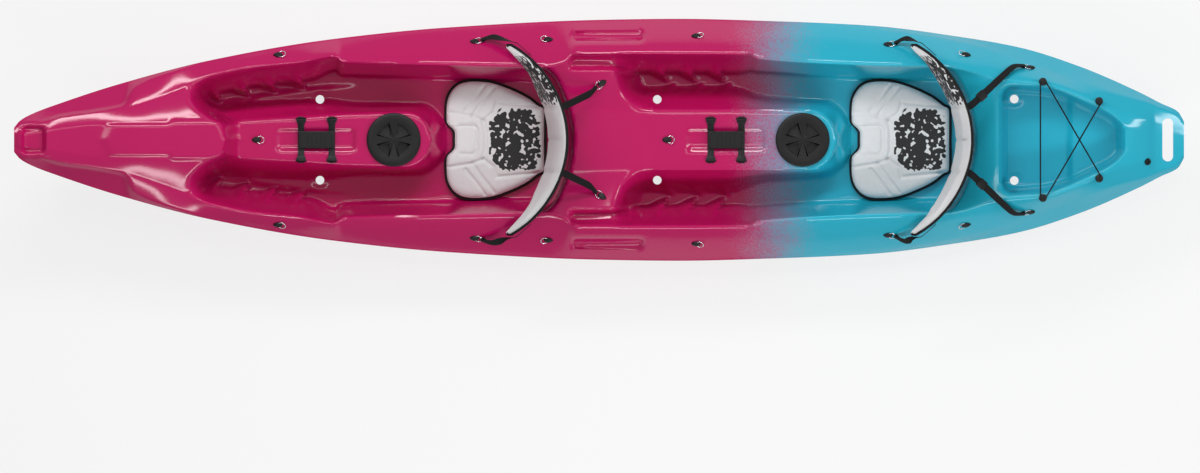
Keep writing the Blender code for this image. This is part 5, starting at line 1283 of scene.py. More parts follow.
class KayakStudio(bpy.types.PropertyGroup):
    """Light and floor of the studio."""

    key_power: bpy.props.FloatProperty(
        name="Key light", description="Power of each side light", default=100.0, unit="POWER")
    sky: bpy.props.FloatProperty(
        name="Sky", description="Strength of the even light all round", default=0.32)
    floor_tone: bpy.props.FloatProperty(
        name="Floor tone", description="Lightness of the floor", default=0.80, min=0.0, max=1.0)


# Hull

class KAYAK_OT_hull(bpy.types.Operator):
    """Builds the fine hull skin with its pockets, slots and hatch mouths"""

    bl_idname = "kayak.hull"
    bl_label = "Hull skin"

    def execute(self, context):
        rings = hull_skin_rings()
        count = rings.shape[1]
        index = np.arange(rings.shape[0] * count).reshape(rings.shape[:2])
        following = np.roll(index, -1, axis=1)
        quads = np.stack([index[:-1], following[:-1], following[1:], index[1:]], axis=2).reshape(-1, 4)
        faces = quads.tolist() + [index[0].tolist(), index[-1].tolist()]
        mesh = mesh_of("hull_skin", rings.reshape(-1, 3).tolist(), faces)
        hull = new_object("hull_skin", mesh, material_named("hull_plastic"))
        carve(hull, joined("openings", self.openings()))
        carve(hull, joined("holds", self.holds()))
        shade(hull, 48.0)
        place(hull, HULL_BODY, "hull_plastic", "hull")
        return {"FINISHED"}

    def openings(self):
        """Hatch mouths, scupper bores, the stern slot and the bow notch."""
        cuts = []
        for cockpit, at in zip(COCKPITS, HATCH_STATIONS):
            cuts.append(cylinder("mouth", COLLAR_OUTER_RADIUS + HATCH_CLEARANCE,
                                 cockpit.console - HATCH_MOUTH_DEPTH,
                                 cockpit.console + 0.05, along(at), 0.0, 96))
        for at, offset in SCUPPERS:
            for side in (-1.0, 1.0):
                cuts.append(cylinder("bore", SCUPPER_BORE_RADIUS, -0.1, 0.5, along(at), side * offset, 32))
        radius = STERN_SLOT_LENGTH / 2
        half = STERN_SLOT_WIDTH / 2 - radius
        x = along(STERN_SLOT_STATION)
        outline = []
        for side in (1.0, -1.0):
            for k in range(17):
                turn = math.pi * k / 16
                outline.append((x + side * radius * math.cos(turn), side * (half + radius * math.sin(turn))))
        cuts.append(loft("slot", [[(px, py, z) for px, py in outline] for z in (0.1, 0.4)]))
        lip_under = float(keel_height(0.0)) - 0.0005
        start, root = along(0.0) - 0.02, along(0.0) + BOW_SLOT_REACH
        middle = lip_under - 0.050
        outline = [(start, lip_under + 0.010), (root - 0.012, middle + BOW_SLOT_ROOT),
                   (root - 0.0035, middle + BOW_SLOT_ROOT * 0.55), (root, middle),
                   (root - 0.0035, middle - BOW_SLOT_ROOT * 0.4), (start + 0.046, lip_under - BOW_SLOT_MOUTH),
                   (start, lip_under - BOW_SLOT_MOUTH + 0.004)]
        cuts.append(loft("notch", [[(px, y, z) for px, z in outline] for y in (-0.2, 0.2)]))
        return cuts

    def holds(self):
        """The hollow under each hatch mouth, down to the inside of the bottom."""
        hollows = []
        for cockpit, at in zip(COCKPITS, HATCH_STATIONS):
            middle = along(at)
            roof = cockpit.console - HATCH_MOUTH_DEPTH - 0.001
            bed = float(keel_height(at)) + HOLD_BED
            rings = []
            for reach, widen, drop in HOLD_RINGS:
                half = HOLD_HALF_WIDTH * widen
                low, high = bed + drop, roof + 0.004 - drop
                rings.append([(middle + reach, y, z) for y, z in ((-half, low), (half, low), (half, high),
                                                                  (-half, high))])
            hollows.append(loft("hold", rings))
        return hollows


# Hatches

class KAYAK_OT_hatches(bpy.types.Operator):
    """Builds the round lids with their four finger pockets, and finishes rims and seals"""

    bl_idname = "kayak.hatches"
    bl_label = "Hatches"

    def execute(self, context):
        for prefix, cockpit, at in zip(PREFIXES, COCKPITS, HATCH_STATIONS):
            self.lid(prefix, Vector((along(at), 0.0, cockpit.console + GAP)))
            for part, finish in (("rim", "black_plastic"), ("seal", "black_rubber")):
                refinish(f"{prefix}_hatch_{part}", finish)
        return {"FINISHED"}

    def lid(self, prefix, base):
        under = RIM_FLANGE_THICKNESS + GAP + SEAL_THICKNESS + GAP
        top, bowl = under + LID_PLATE, LID_BOWL_RADIUS + LID_SKIN
        skirt = LID_RADIUS - 0.0022
        profile = ((0.0, top - 0.0004), (LID_BOWL_RADIUS + 0.006, top - 0.0004), (LID_BOWL_RADIUS + 0.008, top),
                   (LID_RADIUS - 0.010, top), (LID_RADIUS - 0.004, top - 0.0006), (LID_RADIUS - 0.001, top - 0.0022),
                   (LID_RADIUS, top - 0.004), (LID_RADIUS, 0.0012), (skirt, 0.0012), (skirt, under), (bowl, under),
                   (bowl - 0.002, under - LID_BOWL_DEPTH + LID_SKIN), (0.0, under - LID_BOWL_DEPTH + LID_SKIN))
        lid = new_object(f"{prefix}_lid", turned("lid", profile, 96, base), material_named("black_plastic"))
        pockets = []
        floor = under - LID_BOWL_DEPTH + 2 * LID_SKIN
        bar, corner = LID_GRIP_BAR * 0.8, LID_GRIP_BAR * 0.6
        start = math.asin(bar / LID_BOWL_RADIUS) + 0.06
        outline = []
        for k in range(13):
            turn = start + (math.pi / 2 - 2 * start) * k / 12
            outline.append((LID_BOWL_RADIUS * math.cos(turn), LID_BOWL_RADIUS * math.sin(turn)))
        for k in range(5):
            turn = math.pi * (1 + k / 8)
            outline.append((bar + corner * (1 + math.cos(turn)), bar + corner * (1 + math.sin(turn))))
        rise = LID_POCKET_RISE * LID_BOWL_DEPTH / LID_BOWL_RADIUS
        floors = [floor + rise * (LID_BOWL_RADIUS - math.hypot(px, py)) for px, py in outline]
        for quarter in range(4):
            turn = Matrix.Translation(base) @ Matrix.Rotation(math.pi / 2 * quarter, 4, "Z")
            rings = [[tuple(turn @ Vector((px, py, z))) for (px, py), z in zip(outline, floors)],
                     [tuple(turn @ Vector((px, py, top + 0.01))) for px, py in outline]]
            pockets.append(loft("pocket", rings))
        carve(lid, joined("pockets", pockets))
        rounded(lid, 0.0018, 3)
        shade(lid)
        place(lid, f"{prefix}_hatch_cover", "black_plastic", f"{prefix}_hatch_lid")


# Console fittings

class KAYAK_OT_console_fittings(bpy.types.Operator):
    """Finishes the console straps and the block between them"""

    bl_idname = "kayak.console_fittings"
    bl_label = "Console straps and blocks"

    def execute(self, context):
        for prefix in PREFIXES:
            for way in ("fore", "aft"):
                node = f"{prefix}_console_strap_{way}"
                strap = merged_copy(node, f"{prefix}_console_webbing_{way}", material_named("black_plastic"))
                rounded(strap, 0.0012)
                shade(strap)
                place(strap, HULL_BODY, "webbing", node)
            self.block(prefix)
        return {"FINISHED"}

    def block(self, prefix):
        """A moulded bar with raised ends, grooves across it and a pressed middle panel."""
        low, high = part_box(f"{prefix}_console_block")
        middle, size = (low + high) / 2, high - low
        rings = []
        for scale, lift in ((0.985, 0.0), (1.0, 0.15), (1.0, 0.72), (0.985, 0.92), (0.955, 1.0), (0.86, 1.0),
                            (0.85, 0.80), (0.30, 0.80)):
            rings.append([(middle.x + px * scale, middle.y + py * scale, low.z + size.z * lift)
                          for px, py in rounded_outline(size.x, size.y, 0.006)])
        block = new_object(f"{prefix}_block", loft("block", rings), material_named("black_plastic"))
        bars = []
        for k in range(5):
            x = middle.x + (k - 2) * size.x * 0.12
            low_z, high_z = low.z + size.z * 0.5, low.z + size.z * 0.93
            outline = ((-0.0022, low_z), (0.0022, low_z), (0.0014, high_z), (-0.0014, high_z))
            bars.append(loft("bar", [[(x + a, middle.y + size.y * side, z) for a, z in outline]
                                     for side in (-0.34, 0.34)]))
        carve(block, joined("bars", bars), "UNION")
        shade(block, 40.0)
        place(block, HULL_BODY, "black_plastic", f"{prefix}_console_block")


# Seats
def seat_outline():
    """The seat seen from above, about its middle: a notched front and a narrower back."""
    half, front, notch = SEAT_HALF_WIDTH, -SEAT_LENGTH / 2, SEAT_NOTCH_HALF_WIDTH
    rear = SEAT_REAR_HALF_WIDTH
    right = [(front + SEAT_NOTCH_DEPTH, 0.0), (front + SEAT_NOTCH_DEPTH, notch * 0.6),
             (front + SEAT_NOTCH_DEPTH * 0.75, notch * 0.9), (front + SEAT_NOTCH_DEPTH * 0.2, notch * 1.25),
             (front, notch * 1.6), (front + 0.002, half * 0.62), (front + 0.014, half * 0.80),
             (front + 0.040, half * 0.94), (front + 0.080, half), (front + 0.150, half * 0.985),
             (front + 0.215, between(rear, half, 0.72)), (front + 0.280, between(rear, half, 0.35)),
             (-front - 0.022, rear), (-front - 0.006, rear * 0.94), (-front, rear * 0.80), (-front, 0.0)]
    return right + [(x, -y) for x, y in right[-2:0:-1]]


def distance_to(path, x, y):
    """Distance of points from a path of straight runs."""
    nearest = np.full(x.shape, 1e3)
    for (ax, ay), (bx, by) in zip(path, path[1:]):
        run = (bx - ax) ** 2 + (by - ay) ** 2
        t = np.clip(((x - ax) * (bx - ax) + (y - ay) * (by - ay)) / run, 0, 1)
        nearest = np.minimum(nearest, np.hypot(x - ax - t * (bx - ax), y - ay - t * (by - ay)))
    return nearest


def closed_curve(points, count):
    """Evenly spread points on a smooth closed curve through the given ones."""
    given = np.array(points + points[:3], float)
    fine = []
    for i in range(len(points)):
        a, b, c, d = (given[(i + k) % len(points)] for k in range(4))
        for t in np.linspace(0, 1, 12, endpoint=False):
            fine.append(0.5 * ((2 * b) + (c - a) * t + (2 * a - 5 * b + 4 * c - d) * t**2
                               + (3 * b - a - 3 * c + d) * t**3))
    fine = np.array(fine + fine[:1])
    run = np.concatenate([[0], np.cumsum(np.hypot(*np.diff(fine, axis=0).T))])
    at = np.linspace(0, run[-1], count, endpoint=False)
    return np.stack([np.interp(at, run, fine[:, 0]), np.interp(at, run, fine[:, 1])], axis=1)


def set_attribute(mesh, name, kind, values):
    attribute = mesh.attributes.new(name, kind, "POINT")
    key = "vector" if kind == "FLOAT_VECTOR" else "value"
    attribute.data.foreach_set(key, np.asarray(values, np.float32).ravel())


def coordinates(mesh):
    values = np.empty(len(mesh.vertices) * 3, np.float32)
    mesh.vertices.foreach_get("co", values)
    return values.reshape(-1, 3).astype(float)


def set_coordinates(mesh, points):
    mesh.vertices.foreach_set("co", np.asarray(points, np.float32).ravel())
    mesh.update()


def puffed(obj):
    """Blows a closed pad up as cloth over foam, and holds every point near where it began."""
    start = coordinates(obj.data)
    cloth = obj.modifiers.new("cloth", "CLOTH")
    cloth.settings.quality = CLOTH_QUALITY
    cloth.settings.mass = CLOTH_MASS
    cloth.settings.use_pressure = True
    cloth.settings.uniform_pressure_force = CLOTH_PRESSURE
    cloth.settings.effector_weights.gravity = 0.0
    cloth.collision_settings.use_collision = False
    cloth.point_cache.frame_start = 1
    cloth.point_cache.frame_end = CLOTH_FRAMES
    scene = bpy.context.scene
    for number in range(1, CLOTH_FRAMES + 1):
        scene.frame_set(number)
    bake(obj)
    scene.frame_set(1)
    step = coordinates(obj.data) - start
    length = np.maximum(np.linalg.norm(step, axis=1, keepdims=True), 1e-9)
    set_coordinates(obj.data, start + step * np.minimum(length, PUFF) / length)


class KAYAK_OT_seats(bpy.types.Operator):
    """Builds the seat pads with their pressed channels, mottled cloth and piping"""

    bl_idname = "kayak.seats"
    bl_label = "Seats"

    def execute(self, context):
        seating = context.scene.kayak_seating
        for prefix, cockpit in zip(PREFIXES, COCKPITS):
            self.pad(prefix, cockpit, seating)
        return {"FINISHED"}

    def pad(self, prefix, cockpit, seating):
        outline = closed_curve(seat_outline(), 200)
        middle = np.array((along(cockpit.seat) - SEAT_FORWARD, 0.0, cockpit.floor + GAP))
        base = middle[2]
        rings = [[(middle[0] + x * scale, y * scale, base + SEAT_THICKNESS * lift) for x, y in outline]
                 for scale, lift in SEAT_RINGS]
        pad = new_object(f"{prefix}_pad", loft(f"{prefix}_pad", rings), material_named("seat_cloth"))
        remesh = pad.modifiers.new("even", "REMESH")
        remesh.mode = "VOXEL"
        remesh.voxel_size = CLOTH_CELL
        bake(pad)
        puffed(pad)
        subdivided(pad)
        mesh = pad.data
        local = coordinates(mesh) - middle
        x, y, z = local.T
        z = np.clip(z, 0.0, SEAT_THICKNESS + PUFF)
        pressing = smooth((z / SEAT_THICKNESS - SEAT_RELIEF_START) / SEAT_RELIEF_RUN)
        local[:, 2] = z - self.relief(x, y, seating) * pressing
        set_coordinates(mesh, local + middle)
        lengthways = (2 * x - MOTTLE_FRONT - MOTTLE_REAR) / (MOTTLE_REAR - MOTTLE_FRONT)
        mottle = smooth((1.0 - (lengthways ** 4 + (y / MOTTLE_HALF_WIDTH) ** 4) ** 0.25) / MOTTLE_FADE)
        mottle *= smooth((self.room(local) - MOTTLE_EDGE_ROOM) / MOTTLE_EDGE_FADE)
        for path in SEAT_CHANNELS:
            mottle *= smooth((distance_to(path, x, np.abs(y)) - MOTTLE_CHANNEL_ROOM) / MOTTLE_CHANNEL_FADE)
        set_attribute(mesh, "pad_place", "FLOAT_VECTOR", local)
        set_attribute(mesh, "mottle", "FLOAT", mottle)
        shade(pad, 70.0)
        place(pad, HULL_BODY, "seat_fabric", f"{prefix}_seat_pad")
        edge = [(middle[0] + px * 0.992, py * 0.992, base + SEAT_THICKNESS * 0.42) for px, py in outline[::2]]
        piping = along_paths(f"{prefix}_piping", [edge], cord_tree(), closed=True, Radius=seating.piping,
                             Spacing=0.005, Sides=10, Material=material_named("backing"))
        place(piping, HULL_BODY, "backing")
        seam = [(middle[0] + px * 0.955, py * 0.955, base + SEAT_THICKNESS * 0.92) for px, py in outline]
        stitches = along_paths(f"{prefix}_stitches", [seam], stitch_tree(), closed=True, Pitch=seating.stitch_pitch,
                               Length=seating.stitch_pitch * 0.6, Thread=seating.thread,
                               Material=material_named("thread"))
        place(stitches, HULL_BODY, "seat_fabric")

    def room(self, local):
        """Distance inside the seat's outline, roughly."""
        return SEAT_HALF_WIDTH - np.hypot(local[:, 0] * 1.05, local[:, 1])

    def relief(self, x, y, seating):
        """Depth of the channels pressed between the bolsters, and of the panel behind the notch."""
        depth = SEAT_PANEL_DEPTH * ((x < SEAT_PANEL_END) & (np.abs(y) < SEAT_PANEL_HALF_WIDTH))
        for path in SEAT_CHANNELS:
            near = distance_to(path, x, np.abs(y))
            depth = depth + seating.channel_depth * np.exp(-(near / seating.channel_width) ** 2)
        return depth


# Backrests
def backrest_wrap(t):
    """How far forwards the backrest has curved at a share of its half width."""
    return BACKREST_WRAP * (0.90 * t**2 + 0.10 * t**6)


def backrest_point(cockpit, y, share, out=0.0):
    """A point on the backrest's rear face, moved outwards along its normal."""
    t = abs(y) / BACKREST_HALF_WIDTH
    wrap = backrest_wrap(t)
    slope = BACKREST_WRAP * (1.80 * t + 0.60 * t**5) / BACKREST_HALF_WIDTH
    normal = Vector((1.0, math.copysign(slope, y), 0.0)).normalized()
    low, high = backrest_edges(cockpit, abs(y))
    z = low + (high - low) * share
    foot = cockpit.floor + BACKREST_FOOT_LIFT
    drop = (cockpit.backrest_top - z) / (cockpit.backrest_top - foot)
    x = along(cockpit.seat) + BACKREST_REACH - wrap - BACKREST_LEAN * drop
    return Vector((x, y, z)) + normal * out


@functools.cache
def backrest_edges(cockpit, y):
    """Lower and upper edge of the backrest at an offset, kept clear of the deck under it."""
    t = min(y / BACKREST_HALF_WIDTH, 1.0)
    x = along(cockpit.seat) + BACKREST_REACH - backrest_wrap(t)
    rise = rail_height(cockpit.seat) - rail_height(FRONT_SEAT_STATION)
    below = max(deck_at(x + reach, max(y + aside, 0.0)) for reach in (-0.075, -0.050, -0.025, 0.0)
                for aside in (-0.020, -0.010, 0.0, 0.010, 0.018))
    low = max(cockpit.floor + BACKREST_FOOT_LIFT, below + BACKREST_RAIL_CLEARANCE)
    peak = cockpit.backrest_top
    tip = BACKREST_TIP_TOP + float(rise)
    high = tip + (peak - tip) * (1 - t**2.2)
    return low, max(high, low + BACKREST_TIP_HEIGHT)


def leaning(cockpit, y, share, out=0.0):
    """A point on the backrest, its lower edge drawn forwards as the moulded foam is, its wings' ends round."""
    share = 0.5 + (share - 0.5) * (1 - WING_ROUNDING * (abs(y) / BACKREST_HALF_WIDTH) ** 8)
    point = backrest_point(cockpit, y, share, out)
    spread = (abs(y) / BACKREST_HALF_WIDTH) ** 1.5
    point.x -= (1 - share) * (MIDDLE_LEAN + WING_LEAN * spread)
    return tuple(point)


class KAYAK_OT_backrests(bpy.types.Operator):
    """Builds the backrests: pale padded face, black shell behind, and bound edge"""

    bl_idname = "kayak.backrests"
    bl_label = "Backrests"

    def execute(self, context):
        for prefix, cockpit in zip(PREFIXES, COCKPITS):
            self.backrest(prefix, cockpit)
        return {"FINISHED"}

    def backrest(self, prefix, cockpit):
        count, rows = BACKREST_COLUMNS, BACKREST_ROWS
        columns = [BACKREST_HALF_WIDTH * math.sin(math.pi * k / count) for k in range(-count // 2, count // 2 + 1)]
        shares = [0.5 - 0.5 * math.cos(math.pi * k / rows) for k in range(rows + 1)]
        pad, shell, local, pressed = [], [], [], []
        for y in columns:
            end = 1 - (abs(y) / BACKREST_HALF_WIDTH) ** 8
            fold = math.exp(-((abs(y) - BACKREST_FOLD) / FOLD_WIDTH) ** 2)
            spine = math.exp(-(y / SPINE_WIDTH) ** 2)
            front = []
            for share in shares:
                crown = (1 - abs(2 * share - 1) ** 5) * (0.35 + 0.65 * end)
                wave = 0.10 * math.exp(-((share - 0.5 - 1.2 * (abs(y) - 0.10)) / 0.07) ** 2)
                depth = BACKREST_PAD * (0.40 + 0.70 * crown)
                front.append(leaning(cockpit, y, 0.015 + 0.97 * share, -depth))
                pressed.append(BACKREST_PAD * (0.40 * fold + 0.30 * spine + wave) * crown)
                local.append((y, share * PATTERN_HEIGHT, 0.0))
            back = [leaning(cockpit, y, 0.015 + 0.97 * share) for share in reversed(shares[::4])]
            local += [(y, share * PATTERN_HEIGHT, REAR_MARK) for share in reversed(shares[::4])]
            pressed += [0.0] * len(back)
            pad.append(front + back)
            rim = shares[::2]
            shell.append([leaning(cockpit, y, s, GAP) for s in rim]
                         + [leaning(cockpit, y, s, GAP + BACKREST_SHELL) for s in reversed(rim)])
        body = f"{prefix}_backrest"
        face = new_object(f"{prefix}_back_pad", loft("back_pad", pad), material_named("seat_cloth"))
        puffed(face)
        normals = np.array([v.normal for v in face.data.vertices])
        local = np.array(local)
        held = local[:, 2] == REAR_MARK
        points = coordinates(face.data)
        points[held] = np.array([p for column in pad for p in column])[held]
        set_coordinates(face.data, points - normals * np.array(pressed)[:, None])
        mottle = smooth((local[:, 0] - WING_MOTTLE_START) / WING_MOTTLE_FADE) * ~held
        mottle = mottle * smooth((WING_MOTTLE_END - local[:, 0]) / WING_MOTTLE_FADE)
        set_attribute(face.data, "pad_place", "FLOAT_VECTOR", local * (1, 1, 0))
        set_attribute(face.data, "mottle", "FLOAT", mottle)
        shade(face, 70.0)
        place(face, body, "seat_fabric", f"{prefix}_backrest_pad")
        rear = new_object(f"{prefix}_back_shell", loft("back_shell", shell), material_named("backing"))
        shade(rear, 60.0)
        place(rear, body, "backing", f"{prefix}_backrest_shell")
        edge = [leaning(cockpit, y, 0.995, -0.001) for y in columns]
        edge += [leaning(cockpit, y, 0.005, -0.001) for y in reversed(columns)]
        binding = along_paths(f"{prefix}_back_binding", [edge], cord_tree(), closed=True, Radius=0.0040,
                              Spacing=0.006, Sides=10, Material=material_named("backing"))
        place(binding, body, "backing")


# Webbing

class KAYAK_OT_seat_straps(bpy.types.Operator):
    """Finishes the seat straps and buckles"""

    bl_idname = "kayak.seat_straps"
    bl_label = "Seat straps"

    def execute(self, context):
        for prefix in PREFIXES:
            for hand in HANDS:
                for way in ("fore", "aft"):
                    node = f"{prefix}_seat_{hand}_{way}_strap"
                    strap = merged_copy(node, f"{prefix}_{hand}_{way}_webbing", material_named("webbing"), 0.75, 2)
                    shade(strap, 60.0)
                    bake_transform(strap)
                    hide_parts(node)
                if prefix == "rear":
                    self.buckle(prefix, hand)
        return {"FINISHED"}

    def buckle(self, prefix, hand):
        node = f"{prefix}_seat_{hand}_buckle"
        buckle = merged_copy(node, f"{prefix}_{hand}_ladder_lock", material_named("black_plastic"))
        rounded(buckle, 0.0006, 2, 40.0)
        shade(buckle)
        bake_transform(buckle)
        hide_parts(node)


# Deck eyes

def shape_frame(node):
    """Middle of a solid and its own axes, told apart by how its points lie."""
    points = np.unique(np.round([v.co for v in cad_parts[node].data.vertices], 5), axis=0)
    middle = points.mean(axis=0)
    spread = points - middle
    _, axes = np.linalg.eigh(spread.T @ spread)
    for k in range(3):
        if ((spread @ axes[:, k]) ** 3).sum() < 0:
            axes[:, k] = -axes[:, k]
    return middle, axes


class KAYAK_OT_deck_eyes(bpy.types.Operator):
    """Builds the deck eyes: moulded bases with a screw and a steel loop"""

    bl_idname = "kayak.deck_eyes"
    bl_label = "Deck eyes"

    def execute(self, context):
        nodes = [f"eye_{name}_{hand}" for name in EYE_NAMES for hand in HANDS] + list(CENTRE_EYES)
        model = self.model()
        reference = CENTRE_EYES[0]
        low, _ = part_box(reference)
        x = float(along(FIRST_CENTRE_EYE_STATION))
        slope = (deck_at(x + EYE_SLOPE_REACH, 0.0) - deck_at(x - EYE_SLOPE_REACH, 0.0)) / (2 * EYE_SLOPE_REACH)
        normal = Vector((-slope, 0.0, 1.0)).normalized()
        ahead = Vector((1.0, 0.0, slope)).normalized()
        first = Matrix((ahead, normal.cross(ahead), normal)).transposed().to_4x4()
        mesh_low = first @ Vector((-EYE_LENGTH / 2, 0.0, 0.0))
        first.translation = Vector((low.x - mesh_low.x, 0.0, 0.0))
        corner = min((first @ v.co).z for v in model.vertices)
        first.translation.z = low.z - corner
        middle, axes = shape_frame(reference)
        for node in nodes:
            place_at, turned_axes = shape_frame(node)
            turn = turned_axes @ axes.T
            if np.linalg.det(turn) < 0:
                flip = self.symmetric_axis(axes, first)
                turned_axes = turned_axes.copy()
                turned_axes[:, flip] = -turned_axes[:, flip]
                turn = turned_axes @ axes.T
            shift = Matrix.Translation(Vector(place_at)) @ Matrix(turn.tolist()).to_4x4()
            shift = shift @ Matrix.Translation(-Vector(middle))
            mesh = model.copy()
            mesh.transform(shift @ first)
            eye = new_object(node.replace("eye_", "deck_eye_") if node.startswith("eye_") else f"{node}_loop", mesh)
            mesh.materials.append(material_named("black_plastic"))
            mesh.materials.append(material_named("steel_wire"))
            shade(eye, 40.0)
            place(eye, HULL_BODY, "black_plastic", node)
        return {"FINISHED"}

    def symmetric_axis(self, axes, first):
        """The axis that runs across the eye, which its mirror image leaves the same."""
        across = np.array(first.to_3x3() @ Vector((0.0, 1.0, 0.0)))
        return int(np.argmax(np.abs(axes.T @ across)))

    def model(self):
        """One eye about its own frame: teardrop base, screw head, and wire loop along +X."""
        count = 40
        outline = []
        for k in range(count):
            turn = 2 * math.pi * k / count
            point = 1.0 - 0.45 * max(-math.cos(turn), 0.0) ** 2
            outline.append((EYE_LENGTH / 2 * math.cos(turn), EYE_WIDTH / 2 * math.sin(turn) * point))
        steps = ((1.0, 0.0), (1.0, 0.32), (0.985, 0.45), (0.90, 0.66), (0.80, 0.86), (0.70, 0.97), (0.60, 1.0))
        rings = [[(x * scale, y * scale, EYE_THICKNESS * lift) for x, y in outline] for scale, lift in steps]
        screw = turned("screw", ((0.0, 0.0090), (0.0016, 0.0090), (0.0028, 0.0082), (0.0032, 0.0068), (0.0032, 0.0060),
                                 (0.0, 0.0060)), 20, (-0.0062, 0.0, -0.0008))
        mesh = joined("deck_eye", [loft("base", rings), screw])
        work = bmesh.new()
        work.from_mesh(mesh)
        middle = Vector((EYE_LENGTH / 2 - EYE_LOOP_SET_BACK, 0.0, EYE_LOOP_HEIGHT))
        lean = Matrix.Rotation(-EYE_LOOP_LEAN, 3, "Y")
        around, section = 40, 10
        rows = []
        for i in range(around):
            turn = 2 * math.pi * i / around
            row = []
            for j in range(section):
                bend = 2 * math.pi * j / section
                reach = EYE_LOOP_RADIUS + EYE_WIRE_RADIUS * math.cos(bend)
                spot = Vector((reach * math.cos(turn), reach * math.sin(turn), EYE_WIRE_RADIUS * math.sin(bend)))
                row.append(work.verts.new(middle + lean @ spot))
            rows.append(row)
        for i in range(around):
            for j in range(section):
                a, b = rows[i], rows[(i + 1) % around]
                k = (j + 1) % section
                work.faces.new((a[j], b[j], b[k], a[k])).material_index = 1
        bmesh.ops.recalc_face_normals(work, faces=work.faces)
        work.to_mesh(mesh)
        work.free()
        return mesh


# Bungee and drain

class KAYAK_OT_bungee(bpy.types.Operator):
    """Builds the bungee cord laced round its hooks, and finishes the drain plug"""

    bl_idname = "kayak.bungee"
    bl_label = "Bungee, hooks and drain"

    def execute(self, context):
        frames = {}
        top = HOOK_HEIGHT
        profile = ((0.0, top), (HOOK_BASE_RADIUS * 0.50, top), (HOOK_BASE_RADIUS * 0.62, top - 0.0004),
                   (HOOK_BASE_RADIUS * 0.70, top - 0.0012), (HOOK_BASE_RADIUS * 0.74, top - 0.0024),
                   (HOOK_BASE_RADIUS * 0.73, top - 0.0035), (HOOK_NECK_RADIUS, top - 0.0046),
                   (HOOK_NECK_RADIUS, 0.0044), (HOOK_BASE_RADIUS * 0.90, HOOK_FOOT), (HOOK_BASE_RADIUS, 0.0030),
                   (HOOK_BASE_RADIUS, 0.0), (0.0, 0.0))
        for name in PREFIXES:
            for hand in HANDS:
                node = f"bungee_hook_{name}_{hand}"
                low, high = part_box(node)
                spot = Vector(((low.x + high.x) / 2, (low.y + high.y) / 2, low.z))
                hook = new_object(f"hook_{name}_{hand}", turned("hook", profile, 40, spot),
                                  material_named("black_plastic"))
                shade(hook, 40.0)
                place(hook, HULL_BODY, "black_plastic", node)
                frames[name, hand] = spot
        cord = along_paths("bungee", [self.path(frames)], cord_tree(), Radius=BUNGEE_RADIUS, Spacing=0.003, Sides=12,
                           Material=material_named("cord"))
        place(cord, HULL_BODY, "cord", "bungee_cord")
        refinish("drain_plug", "black_plastic")
        refinish("drain_gasket", "black_rubber")
        return {"FINISHED"}

    def path(self, frames):
        """Round each hook in turn, with a long low hump where the cord crosses itself."""
        order = [("rear", "left"), ("front", "right"), ("front", "left"), ("rear", "right")]
        centres = [frames[key] + Vector((0.0, 0.0, HOOK_FOOT + BUNGEE_RADIUS + BUNGEE_ROOM)) for key in order]
        wrap = HOOK_NECK_RADIUS + BUNGEE_RADIUS + GAP * 3
        headings = [math.atan2((b - a).y, (b - a).x) for a, b in zip(centres, centres[1:])]
        starts = [headings[0] - BUNGEE_END_TURN] + headings[:-1] + [headings[-1]]
        ends = headings + [headings[-1] + BUNGEE_END_TURN]
        path = []
        for i, centre in enumerate(centres):
            begin, end = starts[i] - math.pi / 2, ends[i] - math.pi / 2
            while end < begin:
                end += 2 * math.pi
            steps = max(int((end - begin) / math.radians(9)), 2)
            turns = [begin + (end - begin) * k / steps for k in range(steps + 1)]
            path += [centre + Vector((math.cos(t), math.sin(t), 0.0)) * wrap for t in turns]
            if i == 3:
                continue
            leave = path[-1]
            meet = centres[i + 1] + Vector((math.cos(starts[i + 1] - math.pi / 2),
                                            math.sin(starts[i + 1] - math.pi / 2), 0.0)) * wrap
            lift = BUNGEE_RADIUS * BUNGEE_RISES[i]
            for k in range(1, 16):
                t = k / 16
                path.append(leave.lerp(meet, t) + Vector((0, 0, lift * math.sin(math.pi * t) ** 2)))
        return path


# Studio

